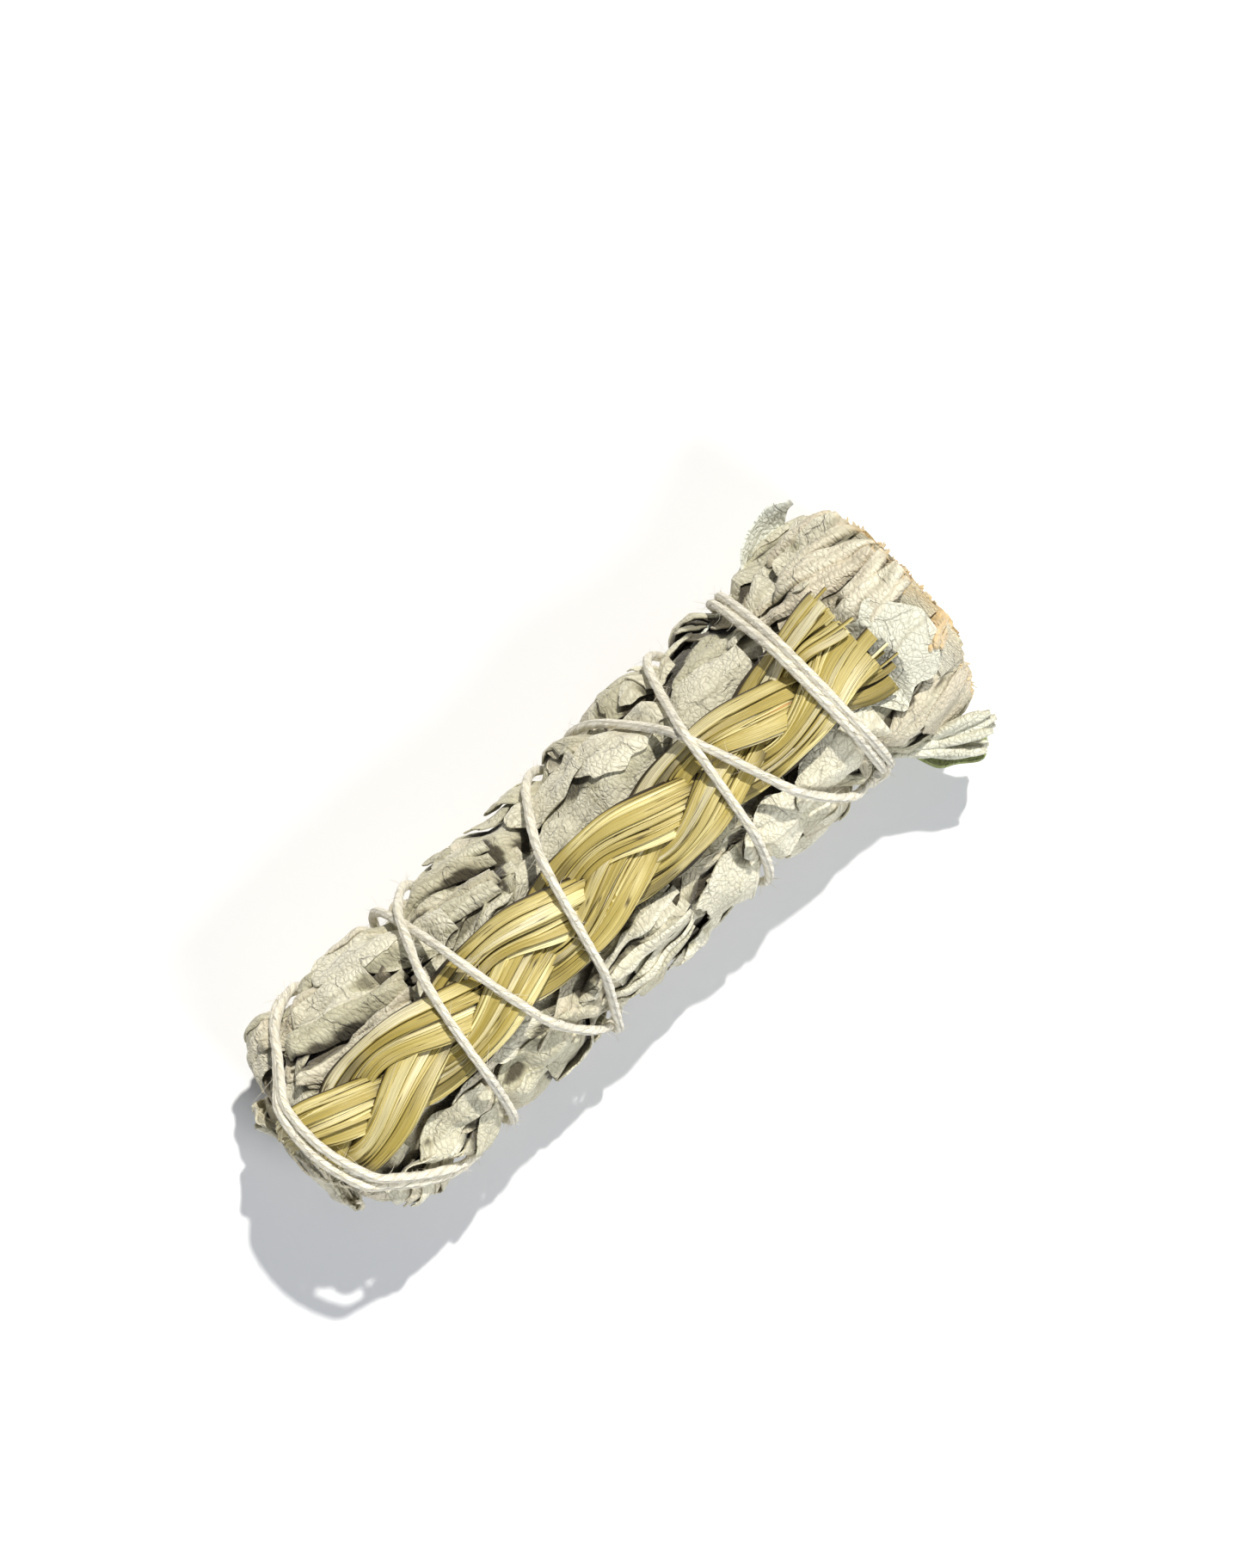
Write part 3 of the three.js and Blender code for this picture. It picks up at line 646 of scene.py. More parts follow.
def build_sweetgrass():
    """Smooth dried blades. Tone X: olive to straw, painted shade below zero. Y is cream, Z burnt."""
    material, n, shader, place, tones = new_material("sweetgrass", 0.42, 0.45)
    grain = n.group(long_grain, Place=place, Fineness=5.5, Stretch=0.02)
    wide = n.add("TexNoise", 0, {"Vector": place, "Scale": 0.12, "Detail": 2.0})
    share = n.math("MULTIPLY_ADD", n.math("SUBTRACT", wide, 0.5), 1.0, tones["X"])
    body = n.mix(n.ramp(share, 0.0, 1.0), GRASS_PAINTS["olive"], GRASS_PAINTS["straw"])
    cream_share = n.math("MULTIPLY", tones["Y"], n.ramp(wide, 0.3, 0.6, 0.6, 1.0))
    body = n.mix(cream_share, body, GRASS_PAINTS["cream"])
    body = n.mix(n.math("MULTIPLY", tones["Z"], grain["Patch"]), body, GRASS_PAINTS["burnt"])
    body = n.mix(n.math("MULTIPLY", grain["Line"], 0.4), body, GRASS_PAINTS["line"])
    # Painted sheen: pale patches along the grain.
    body = n.mix(n.math("MULTIPLY", grain["Patch"], 0.22), body, GRASS_PAINTS["patch"])
    # Painted shade in the split lines, which are also grooves in the bump.
    body = n.mix(n.math("MULTIPLY", grain["Crack"], 0.9), body, GRASS_PAINTS["crack"])
    # Painted shade where tone X is below zero: under edges, crossings, the sides and the inner filling.
    body = n.mix(n.ramp(tones["X"], -1.0, -0.1, 1.0, 0.0), body, GRASS_PAINTS["gap"])
    n.feed(shader.inputs["Base Color"], body)
    n.feed(shader.inputs["Roughness"], n.ramp(grain["Line"], 0.0, 1.0, 0.38, 0.55))
    bump(n, shader, grain["Height"], 0.09, 0.8)
    return material


def build_cotton():
    """Warm white fibres. Tone X marks the groove between two plies, darkened there as painted shade."""
    material, n, shader, place, tones = new_material("cotton", 0.95, 0.2, sheen=0.35)
    grain = n.group(long_grain, Place=place, Fineness=6.0, Stretch=0.12)
    body = n.mix(grain["Line"], paint(222, 213, 186), paint(253, 249, 234))
    # Painted shade in the groove between plies.
    body = n.mix(n.math("MULTIPLY", tones["X"], 0.6), body, paint(178, 168, 136))
    # Painted shade in the split lines of the grain.
    body = n.mix(n.math("MULTIPLY", grain["Crack"], 0.5), body, paint(166, 154, 122))
    n.feed(shader.inputs["Base Color"], body)
    bump(n, shader, grain["Height"], 0.14)
    return material


def build_floor():
    """Pale and matt, with a faint cloudiness."""
    material, n, shader, _, _ = new_material("floor", 0.9, 0.2)
    ground = n.add("NewGeometry", "Position")
    cloud = n.add("TexNoise", 0, {"Vector": ground, "Scale": 6.0, "Detail": 2.0})
    n.feed(shader.inputs["Base Color"], n.mix(cloud, paint(238, 238, 238), paint(243, 243, 243)))
    return material


sweetgrass_material = build_sweetgrass()
cotton_material = build_cotton()
floor_mesh.materials.append(build_floor())
print("materials:", len(bpy.data.materials))

# %% [markdown]
# ## The run of the string
# One string is tied twice round near the cut end, spirals to the narrow end, wraps it and spirals back. It
# could be drawn as a curve by hand, but its turns are better listed as angles round the stick and distances
# along it, as in the solids, because leaves have to know where it presses them down. The string itself is
# made later.

# %% Where the string runs
STRING_RADIUS = 0.62
STRING_LIFT = 1.35  # of the string's middle above the core's surface
BRAID_ASIDE = -1.1  # where the string finds the middle of the braid
OVER_BRAID = {"rise": 3.85, "flat": 5.7, "reach": 12.6}  # what the string climbs, and where, to each side
TIE_TURNS = [
    [(180, 32.3), (270, 32.2), (360, 31.4)],
    [(0, 31.4), (90, 32.8), (180, 33.2)],
    [(180, 33.2), (270, 33.7), (360, 32.9)],
    [(0, 32.9), (90, 34.1), (180, 34.6)],
]
TURNS_OUT = [
    (180, 34.6), (270, 27.5), (360, 21.3), (450, 17.1), (540, 13), (630, 6.8), (720, 0.5), (810, -7.3),
    (900, -13.4), (990, -17.5), (1080, -21), (1170, -27.2), (1260, -31), (1350, -36), (1440, -39.9),
]
NOSE_TURNS = [
    [(0, -39.9), (90, -50.4), (180, -38.8)],
    [(180, -38.8), (270, -33), (360, -41.4)],
    [(0, -41.4), (90, -49.0), (180, -37.3)],
]
TURNS_BACK = [
    (180, -37.3), (270, -31.5), (360, -26), (450, -20.8), (540, -13.5), (630, -3), (720, 7.5), (810, 19.5),
    (900, 29.5), (912, 31.8),
]
CROSSING = {"lift": 1.1, "spread": 2.0}
POINTS_PER_DEGREE = 0.7


def smooth_through(points, count):
    """Points on a smooth curve through the given ones."""
    points = np.asarray(points, float)
    padded = np.vstack([2 * points[0] - points[1], points, 2 * points[-1] - points[-2]])
    place = np.linspace(0, len(points) - 1, count)
    span = np.minimum(place.astype(int), len(points) - 2)
    share = (place - span)[:, None]
    before, here, after, beyond = (padded[span + step] for step in range(4))
    curved = (2 * before - 5 * here + 4 * after - beyond) * share**2
    twisted = (3 * here - before - 3 * after + beyond) * share**3
    return (2 * here + (after - before) * share + curved + twisted) / 2


def string_lift(along, angle):
    """How high the string runs. It climbs from the leaves onto the braid and down again."""
    across = HALF_WIDTH * girth(along)[1] * np.cos(np.radians(angle)) - BRAID_ASIDE
    slope = OVER_BRAID["reach"] - OVER_BRAID["flat"]
    near = np.clip((OVER_BRAID["reach"] - np.abs(across)) / slope, 0, 1)
    return STRING_LIFT + np.where(np.sin(np.radians(angle)) > 0, OVER_BRAID["rise"] * near**2, 0)


def run_of(turns):
    """Columns of angle, distance along and lift, a fraction of a mm apart."""
    plan = smooth_through(turns, int(abs(turns[-1][0] - turns[0][0]) * POINTS_PER_DEGREE))
    return np.column_stack([plan, string_lift(plan[:, 1], plan[:, 0])])


def points_of(run):
    return on_core(run[:, 1], run[:, 0], run[:, 2])


def lifted_over(run, other):
    """The run with a hump wherever it crosses the other one."""
    here = points_of(run)
    there = points_of(other)
    away = np.linalg.norm(here[:, None] - there[None], axis=-1).min(axis=1)
    hump = CROSSING["lift"] * np.exp(-((away / CROSSING["spread"]) ** 2))
    return np.column_stack([run[:, :2], run[:, 2] + hump])


back = run_of(TURNS_BACK)
out = lifted_over(run_of(TURNS_OUT), back)
runs = [*map(run_of, TIE_TURNS), out, *map(run_of, NOSE_TURNS), back]
string_run = np.concatenate(runs)
print("points along the string:", len(string_run))

# %% [markdown]
# ## The run of the braid
# Three flat strands swing from side to side a third of a turn apart. Each rides up over the others on its
# way from an edge to the middle and goes under them on its way out, which is what makes a plait.

# %% Where the strands run
BRAID = {"from": -55, "to": 41, "period": 53.4, "widest_at": -1.4, "lift": 1.65, "weave": 1.35, "bank": 0.5}
BRAID_SAG = 0.02  # it follows the round of the stick, by this times the square of the distance aside
BRAID_MIDDLE = {"from": (-45, -1.6), "to": (30, -0.7)}
BRAID_REACH = {"middle": 3.7, "narrow_end": 0.5, "cut_end": 1.6}  # the swing, and what each end adds
STRANDS = 3
STRAND = {"half_width": 3.3, "half_thickness": 1.05}
FAN = {"from": 35, "runs_on": 4}
STRAIGHTER = 0.07  # takes some of the roundness out of the swing


def strand_turn(along, strand):
    """How far a strand is through its swing. The swing dies out in the fan at the cut end."""
    beyond = np.maximum(along - FAN["from"], 0)
    along = along - beyond + FAN["runs_on"] * np.tanh(beyond / FAN["runs_on"])
    return np.radians(90 + 360 * (along - BRAID["widest_at"]) / BRAID["period"] + 360 / STRANDS * strand)


def strand_at(along, strand):
    """A strand's middle: its Y, its height above the core, and its tilt."""
    turn = strand_turn(along, strand)
    (first, first_y), (last, last_y) = BRAID_MIDDLE["from"], BRAID_MIDDLE["to"]
    middle = first_y + (along - first) * (last_y - first_y) / (last - first)
    reach = BRAID_REACH["middle"] + BRAID_REACH["narrow_end"] * smoothstep(-along, 25, 45)
    reach = reach + BRAID_REACH["cut_end"] * smoothstep(along, 28, BRAID["to"])
    height = BRAID["lift"] - BRAID["weave"] * np.sin(2 * turn)
    swing = (np.sin(turn) - STRAIGHTER * np.sin(3 * turn)) / (1 + STRAIGHTER)
    return middle + reach * swing, height, -BRAID["bank"] * np.cos(turn) / STRAND["half_width"]


def braid_point(along, y, height):
    """A place that far to the side of the stick's top line and that far above the core."""
    along, y, height = np.broadcast_arrays(along, y, height)
    outward = core_normal(along, 90.0)
    place = core_point(along, 90.0) + outward * (height - BRAID_SAG * y * y)[..., None]
    place[..., 1] += y
    return place


asides = [round(float(strand_at(0.0, strand)[0]), 1) for strand in range(STRANDS)]
print("strands at mid-length lie aside by mm:", asides)

# %% [markdown]
# ## Room for the leaves
# Leaves are pressed flat under the string, under the braid and against the surface that the stick lies on,
# and bulge between. So the whole stick gets a map of how high a leaf may rise at each place: the lowest of
# the cones that widen from every point of the string, the room under each strand and the room above the
# ground.

# %% Map how high leaves may rise
MAP_STEP = 0.4
map_along = np.arange(POLE, BUTT + 2, MAP_STEP)
MAP_TURNS = 224
map_angle = np.arange(MAP_TURNS) * 360 / MAP_TURNS
MOST_RISE = 2.85
LESS_AT_NOSE = 2.2
CONE = {"slope": 1.0, "flat": 0.5, "reach": 4, "gap": 0.15}  # how leaves bulge up beside the string
UNDER_STRAND = {"slope": 1.0, "beyond": 1.2}  # and beside a strand, and past the braid's ends
PRESS_GAP = 0.25
NO_LIMIT = 99.0
LEAF_THICKNESS = 0.28
BED_DEPTH = {"body": 4.6, "nose": 1.8}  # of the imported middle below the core's surface
LEAST_ROOM = 1.0


def cone_under_string(run):
    """How high leaves may rise, for what the string presses. It is less at the narrow end."""
    most = MOST_RISE - LESS_AT_NOSE * smoothstep(-map_along, 48, 58)
    ceiling = np.tile(most[:, None], (1, MAP_TURNS))
    shares = girth(map_along)[1]
    for angle, along, lift in run[::2]:
        near = np.abs(map_along - along) < CONE["reach"]
        turned = (map_angle - angle + 180) % 360 - 180
        sideways = np.radians(turned)[None] * HALF_WIDTH * shares[near][:, None]
        away = np.hypot(map_along[near][:, None] - along, sideways)
        cone = lift - STRING_RADIUS - CONE["gap"] + CONE["slope"] * np.maximum(away - CONE["flat"], 0)
        ceiling[near] = np.minimum(ceiling[near], cone)
    return ceiling


def room_under_braid():
    """How high leaves may rise under the three strands, measured upwards."""
    along = map_along[:, None]
    surface = core_point(along, map_angle[None])
    normal = core_normal(along, map_angle[None])
    y = surface[..., 1]
    ceiling = np.full(y.shape, NO_LIMIT)
    for strand in range(STRANDS):
        middle, height, tilt = strand_at(along, strand)
        aside = y - middle
        inside = np.clip(aside / STRAND["half_width"], -1, 1)
        low = height + tilt * inside * STRAND["half_width"]
        low = low - STRAND["half_thickness"] * np.sqrt(1 - inside**2) - BRAID_SAG * y * y
        low = low + UNDER_STRAND["slope"] * np.maximum(np.abs(aside) - STRAND["half_width"], 0)
        under = core_point(along, 90.0)[..., 2] + low
        ceiling = np.minimum(ceiling, (under - surface[..., 2]) * np.maximum(normal[..., 2], 0.2))
    past_ends = np.maximum(BRAID["from"] - along, 0) + np.maximum(along - BRAID["to"], 0)
    ceiling = ceiling + UNDER_STRAND["beyond"] * past_ends
    return np.where(np.sin(np.radians(map_angle))[None] > 0.2, ceiling, NO_LIMIT) - PRESS_GAP


def room_above_ground():
    surface = core_point(map_along[:, None], map_angle[None])
    down = -core_normal(map_along[:, None], map_angle[None])[..., 2]
    return np.where(down > 0.1, surface[..., 2] / np.maximum(down, 0.1), NO_LIMIT) - PRESS_GAP


ceiling_map = np.minimum(cone_under_string(string_run), np.minimum(room_under_braid(), room_above_ground()))
to_nose = smoothstep(-map_along[:, None], 50, 58)
bed_depth = BED_DEPTH["body"] + (BED_DEPTH["nose"] - BED_DEPTH["body"]) * to_nose
bed_map = np.minimum(-bed_depth, ceiling_map - LEAST_ROOM)
print("lowest bed:", bed_map.min().round(2), "mm")

# %% [markdown]
# ## Pressing the stack
# A bundle is laid loosely and pressed when it is tied, and so is this one. Each height in the loose stack
# is scaled to the room between the bed and the limit above it, which keeps every leaf on top of those below
# it. Leaves that were shaped one by one in their final places would cut through each other.

# %% Read and press with the map
THINNEST_STACK = 0.2
WRINKLES = {"coarse": 0.4, "fine": 0.42}  # their depths
FILLING = 0.5  # how far hollows between the highest leaves are filled on the two flanks
SMOOTH_PLACES = ((42, 17, 7.0), (11, 55, 4.5))  # unwrinkled: distance along, degrees from the top, radius
SMOOTH_FADE = 3.5
HARDNESS = 16  # of the limit that presses the highest leaves flat
coarse_wrinkles = creases(np.random.default_rng(31), 4.2, stretch=1.5, count=4)
fine_wrinkles = creases(np.random.default_rng(32), 1.9, stretch=1.3, count=4)


def look_up(field, along, angle):
    """The map's value at any places, between its cells."""
    row = np.clip((along - map_along[0]) / MAP_STEP, 0, len(map_along) - 1.001)
    column = (angle % 360) * MAP_TURNS / 360
    r, c = row.astype(int), column.astype(int)
    down, right = row - r, column - c
    left, beside = c % MAP_TURNS, (c + 1) % MAP_TURNS
    upper = field[r, left] * (1 - right) + field[r, beside] * right
    lower = field[r + 1, left] * (1 - right) + field[r + 1, beside] * right
    return upper * (1 - down) + lower * down


def squeeze(along, angle):
    """The bed, the room above it, and the height that the loose stack has there."""
    bed = look_up(bed_map, along, angle)
    room = np.maximum(look_up(ceiling_map, along, angle) - bed, THINNEST_STACK)
    return bed, room, np.maximum(look_up(loose_map, along, angle), room)


def pressed(height, along, angle):
    """A height in the loose stack, pressed between bed and ceiling so that what is on top stays on top.

    The ceiling is wrinkled, so leaves that lie on each other share their wrinkles.
    """
    bed, room, loose = squeeze(along, angle)
    share = (height / loose) ** (1 - FILLING * np.cos(np.radians(angle)) ** 4)
    from_top = np.abs((angle + 90) % 360 - 180)
    around = np.radians(from_top) * HALF_WIDTH
    wrinkled = WRINKLES["coarse"] * coarse_wrinkles(along, around)
    wrinkled = wrinkled + WRINKLES["fine"] * fine_wrinkles(along, around)
    for smooth_along, smooth_from_top, radius in SMOOTH_PLACES:
        away = np.hypot(along - smooth_along, around - math.radians(smooth_from_top) * HALF_WIDTH)
        wrinkled = wrinkled * smoothstep(away, radius, radius + SMOOTH_FADE)
    return bed + (room - wrinkled) * share / (1 + share**HARDNESS) ** (1 / HARDNESS)


print("wrinkles are up to", round(sum(WRINKLES.values()), 2), "mm deep")


# %% Soften and raise a map
def softened(field, spread):
    """The map blurred over that many mm. It closes on itself round the stick."""
    mirrored = np.vstack([field, field[::-1]])
    lengthways = np.fft.fftfreq(len(mirrored), MAP_STEP)[:, None]
    around = np.fft.rfftfreq(MAP_TURNS, 2 * math.pi * HALF_WIDTH / MAP_TURNS)[None]
    damping = np.exp(-2 * (math.pi * spread) ** 2 * (lengthways**2 + around**2))
    return np.fft.irfft2(np.fft.rfft2(mirrored) * damping, s=mirrored.shape)[: len(field)]


def highest_near(field, reach):
    """The map's highest value within that many mm."""
    cells = round(reach / MAP_STEP)
    padded = np.pad(field, ((cells, cells), (0, 0)), mode="edge")
    tallest = np.max([padded[first : first + len(field)] for first in range(2 * cells + 1)], axis=0)
    return np.max([np.roll(tallest, turned, axis=1) for turned in range(-cells, cells + 1)], axis=0)


print("lowest bed when softened:", softened(bed_map, 1.0).min().round(2), "mm")


# %% [markdown]
# ## The leaves
# A sage leaf is long, blunt and 9 to 10 mm wide. In the stick its base points to the cut end and its tip
# to the narrow end, and the leaves nearer the cut end lie on top, like shingles. They could be simulated,
# but a formula is quicker and repeats exactly. The leaves are laid one by one: each rests on a softened
# copy of the heights already there, adds its own folds, curled edges and lifted tip, and raises the heights
# for the next. When all are laid, the loose stack is pressed into the room that it has.

# %% One leaf
LEAF_STEP = 0.62
FINER = 2  # leaves are laid on a grid this much finer than the one that is kept
CLEARANCE = 0.32  # a leaf's edge stays this far off what is below
ROLLED_UP = 2.3  # leaves with less than this half-width are round in section
NESTING = 0.55  # how much of a leaf's folds the next leaf has to ride over
CROWDING = 1.35  # rows of the grid lie closer together towards the tip
MOST_CURL = 3.4  # radians that an edge may roll
RELIEF = {"fold": 2.3, "crumple": 1.6, "grain": 0.12}
PATTERN_SHIFT = 60.0  # gives each leaf its own part of the vein pattern
stack_map = np.zeros_like(bed_map)


def outline(share):
    """Half-width along a leaf, as a share of the widest, from base to rounded tip."""
    narrowing = 0.62 + 0.38 * smoothstep(share, 0, 0.4)
    return narrowing * np.sqrt(np.maximum(1 - np.clip((share - 0.45) / 0.55, 0, 1) ** 2.6, 0.002))


def leaf_shape(leaf):
    """Grids of distance along, angle and height above what lies below, with places on the leaf."""
    rng = np.random.default_rng(leaf["seed"])
    length = leaf["base"] - leaf["tip"]
    row_steps = 6 + int(abs(length) / LEAF_STEP)
    column_steps = 4 + int(2 * leaf["half_width"] / LEAF_STEP)
    rows = 1 - (1 - np.linspace(0, 1, row_steps * FINER + 1)[:, None]) ** CROWDING
    across = np.linspace(-1, 1, column_steps * FINER + 1)[None]
    share = rows * leaf["cut"]
    ragged = creases(rng, 5.0, count=2)(share * length, 3 * np.sign(across))
    half = leaf["half_width"] * outline(share) * (0.82 + 0.38 * ragged)
    arc = across * half
    x = share * length
    # Curled edges: the last stretch bends round a small roll.
    raised = 0.0
    flat = arc
    for side, roll in ((-1, leaf["rolls"][0]), (1, leaf["rolls"][1])):
        window = smoothstep(share, 0.05, 0.3) * (1 - smoothstep(share, 0.8, 1.0))
        lap = roll["lap"] * window
        turn = np.clip((side * arc - (half - lap)) / roll["radius"], 0, MOST_CURL)
        bent = (half - lap) + roll["radius"] * np.sin(turn)
        flat = np.where(turn > 0, side * bent, flat)
        raised = raised + roll["radius"] * (1 - np.cos(turn))
    # A domed middle, facets between sharp folds, finer crumples, a lifted tip and ruffled edges.
    warp = waves(rng, 14.0)(x, arc) * 1.2
    if leaf["half_width"] < ROLLED_UP:
        height = leaf["dome"] * np.sqrt(1 - 0.98 * across**2) * np.sqrt(1 - 0.98 * share**10)
    else:
        height = leaf["dome"] * (1 - 0.95 * np.abs(across)) * (1 - 0.9 * share**6)
    folds = creases(rng, leaf["pleat"], stretch=2.6)(x, arc + warp)
    height = height + RELIEF["fold"] * leaf["fold"] * folds
    height = height + RELIEF["crumple"] * leaf["crumple"] * creases(rng, 3.6, stretch=1.4)(x + warp, arc)
    height = height + RELIEF["grain"] * leaf["crumple"] * waves(rng, 1.7)(x, arc)
    height = height + leaf["tip_lift"] * smoothstep(share, 0.6, 1.0) ** 1.5
    ruffle = 0.5 + 0.5 * np.sin(x / 3.2 + 6 * draw(leaf["seed"], 5)) * np.sign(across)
    height = height + leaf["ruffle"] * ruffle * np.abs(across) ** 3 * smoothstep(share, 0.1, 0.4)
    jag = waves(rng, 1.4)(arc, 0.0) * 0.5 + waves(rng, 4.0)(arc, 0.0) * 0.9
    x_end = x + np.where(share > 0.9 * leaf["cut"], jag * leaf["jag"], 0) * rows**6
    aside = x_end * math.tan(math.radians(leaf["yaw"])) + leaf["bow"] * share * (1 - share)
    along = np.clip(leaf["base"] - x_end, POLE + 0.1, BUTT + 1.9)
    around = leaf["angle"] + np.degrees((aside + flat) / (HALF_WIDTH * np.maximum(girth(along)[1], 0.12)))
    place = together(x + PATTERN_SHIFT * (leaf["seed"] % 97), arc)
    return along, around, height + raised, place


print("half-width from base to tip:", outline(np.linspace(0, 1, 5)).round(2))


# %% Lay a leaf
def lay_leaf(leaf):
    """Lays one leaf on top of those already there, and keeps its grids."""
    along, angle, height, place = leaf_shape(leaf)
    below = stack_map if leaf["stiff"] < 1 else highest_near(stack_map, 0.75 * leaf["stiff"])
    resting = look_up(softened(below, leaf["stiff"]), along, angle)
    own = resting + CLEARANCE + height + leaf["lift"]
    rows = np.clip(np.rint((along - map_along[0]) / MAP_STEP).astype(int), 0, len(map_along) - 1)
    columns = np.rint((angle % 360) * MAP_TURNS / 360).astype(int) % MAP_TURNS
    np.maximum.at(stack_map, (rows, columns), resting + LEAF_THICKNESS + NESTING * height)
    every = slice(None, None, FINER)
    return along[every, every], angle[every, every], own[every, every], place[every, every]


# Painted shade: leaves are darkened where they are buried in the stack or lie in a crevice.
BURIED = (1.6, 3.4)  # leaves this far below the top of the stack darken
CREVICE = (0.7, 1.45)  # and so do leaves this far below the edge of a higher one
PAINTED_SHADE = {"burial": 0.8, "crevice": 1.25}
HIDDEN = 0.02
FACES_DOWN = -0.75  # leaves wholly below this sine of their angle face the ground
THINNEST_LEAF = 0.2


def burial(grids):
    """How deep a laid leaf is buried at each point, from 0 to 1, for painted shade."""
    along, angle, own, _ = grids
    _, room, loose = squeeze(along, angle)
    return smoothstep((look_up(top_map, along, angle) - own) * room / loose, *BURIED)


def crevice(grids):
    """Where a leaf goes on below the edge of a higher one, from 0 to 1, for painted shade and hidden leaves.
    """
    along, angle, own, _ = grids
    _, room, loose = squeeze(along, angle)
    return smoothstep((look_up(edge_map, along, angle) - own) * np.sqrt(room / loose), *CREVICE)


def coarser(grid):
    """Every second row and column of a grid, with both ends."""
    kept = [np.rint(np.linspace(0, size - 1, size // 2 + 1)).astype(int) for size in grid.shape[:2]]
    return grid[np.ix_(np.unique(kept[0]), np.unique(kept[1]))]


def add_leaf(leaf, grids, pile):
    """Presses a laid leaf and adds it to the pile. Leaves that can't be seen are coarser."""
    order = 1 if leaf["base"] > leaf["tip"] else -1
    grids = [grid[::order] for grid in grids]
    from_below = np.sin(np.radians(grids[1])).max() < FACES_DOWN
    if from_below or crevice(grids).min() > HIDDEN:
        grids = [coarser(grid) for grid in grids]
    along, angle, own, place = grids
    lower = pressed(own, along, angle)
    upper = pressed(own + LEAF_THICKNESS, along, angle)
    middle = on_core(along, angle, (lower + upper) / 2)
    light, warm, tan = leaf["tone"]
    # Painted shade in buried places and crevices lowers tone X.
    light = light - np.maximum(PAINTED_SHADE["burial"] * burial(grids), PAINTED_SHADE["crevice"] * crevice(grids))
    rim = smoothstep(along - rim_at(angle), -1.3, 0.2) * leaf["rim"]
    tones = together(light, warm, np.maximum(tan, rim))
    # The inner face of the leaf gets painted shade.
    pile.add_sheet(middle, np.maximum(upper - lower, THINNEST_LEAF), place, tones, shades=(0.6, 0.0))


print("map of the stack:", stack_map.shape, "cells")

# %% [markdown]
# ## Which leaves lie where
# The long leaves repeat the rule of the solids: six sprigs, and in each two staggered columns of leaves.
# The gaps are filled with shorter scraps and narrow folded leaves, drawn at random from fixed seeds. The
# leaves that catch the eye in the photograph are placed one by one. All of it could be drawn at random, but
# then the stick would have other landmarks than the real one.

# %% The long leaves
SPRIGS = 6
ROWS = 6
ROW_PITCH = 17.5
FIRST_TIP = -58
SHIFTS = {"tip": 4, "angle": 7, "yaw": 10}  # how far leaves are out of line
LEAF_LENGTH = (25, 33)
LEAF_HALF_WIDTH = (4.3, 5.3)
LEAF_CUT = 51.7
RIM_ROUNDING = 3.2  # how far the leaf ends draw back at the two sides
SHORTEST_LEAF = 9
UNDER_BRAID = 0.91  # where the sine of the angle is larger, the braid covers the leaves


def sprig_middle(sprig):
    """The angle in the middle of a sprig, or partly towards the next one."""
    return 270 + 360 / SPRIGS * sprig


def rim_at(angle):
    """Where leaves end at the cut end, which is rounded seen from above."""
    return LEAF_CUT - RIM_ROUNDING * np.cos(np.radians(angle)) ** 4


def leaf_at(sprig, seed, base, tip, angle, half_width, **ways):
    """A leaf's values, drawn from its seed where they aren't given."""
    rng = np.random.default_rng(1000 + seed)
    folded = rng.random() < 0.35
    nose = float(smoothstep(-base, 5, 45))
    leaf = {
        "sprig": sprig, "seed": seed, "base": base, "tip": tip, "angle": angle, "half_width": half_width,
        "yaw": 0.0, "bow": rng.uniform(-2, 2), "cut": 1.0, "jag": rng.uniform(0.3, 1.0),
        "dome": rng.uniform(0.1, 1.2), "fold": rng.uniform(0.7, 1.6) if folded else rng.uniform(0.1, 0.7),
        "crumple": rng.uniform(0.4, 1.0) if folded else rng.uniform(0.1, 0.5),
        "pleat": rng.uniform(6.0, 11.0), "tip_lift": rng.choice([0.1, 0.3, 0.7, 1.1]),
        "ruffle": rng.uniform(0.0, 0.7),
        "rolls": [
            {"lap": rng.choice([0.0, 0.0, 0.8, 1.6]), "radius": rng.uniform(0.45, 0.7)} for _ in range(2)],
        "tone": (rng.uniform(0.1, 1.05), rng.uniform(0.1, 0.7) + 0.2 * nose, 0.0),
        "rim": rng.uniform(0.0, 0.9), "lift": 0.0, "stiff": 0.55,
    }
    leaf.update(ways)
    # The flanks are seen edge on from above, where lifted edges would look like spikes.
    flank = math.cos(math.radians(angle)) ** 4
    for trait in ("tip_lift", "ruffle"):
        leaf[trait] *= 1 - 0.9 * flank
    leaf["rolls"] = [{**roll, "lap": roll["lap"] * max(0.0, 1 - 2 * flank)} for roll in leaf["rolls"]]
    return leaf


def long_leaves():
    leaves = []
    for number in range(SPRIGS * ROWS * 2):
        sprig, row, side = number // (2 * ROWS), number // 2 % ROWS, number % 2
        tip = FIRST_TIP + ROW_PITCH * (row + side / 2) + SHIFTS["tip"] * (draw(number, 1) - 0.5)
        angle = sprig_middle(sprig + (side - 0.5) / 2) + SHIFTS["angle"] * (draw(number, 3) - 0.5)
        base = min(tip + between(LEAF_LENGTH, draw(number, 2)), rim_at(angle) - draw(number, 8))
        if math.sin(math.radians(angle)) > UNDER_BRAID:
            tip = max(tip, BRAID["to"] - 3)
        if base - tip > SHORTEST_LEAF:
            half_width = between(LEAF_HALF_WIDTH, draw(number, 4))
            yaw = SHIFTS["yaw"] * (draw(number, 7) - 0.5)
            leaves.append(leaf_at(sprig, number, base, tip, angle, half_width, yaw=yaw))
    return leaves


shingled = long_leaves()
print("long leaves:", len(shingled))


# %% Scraps among them
SCRAPS = 66
TORN_SCRAPS = 112


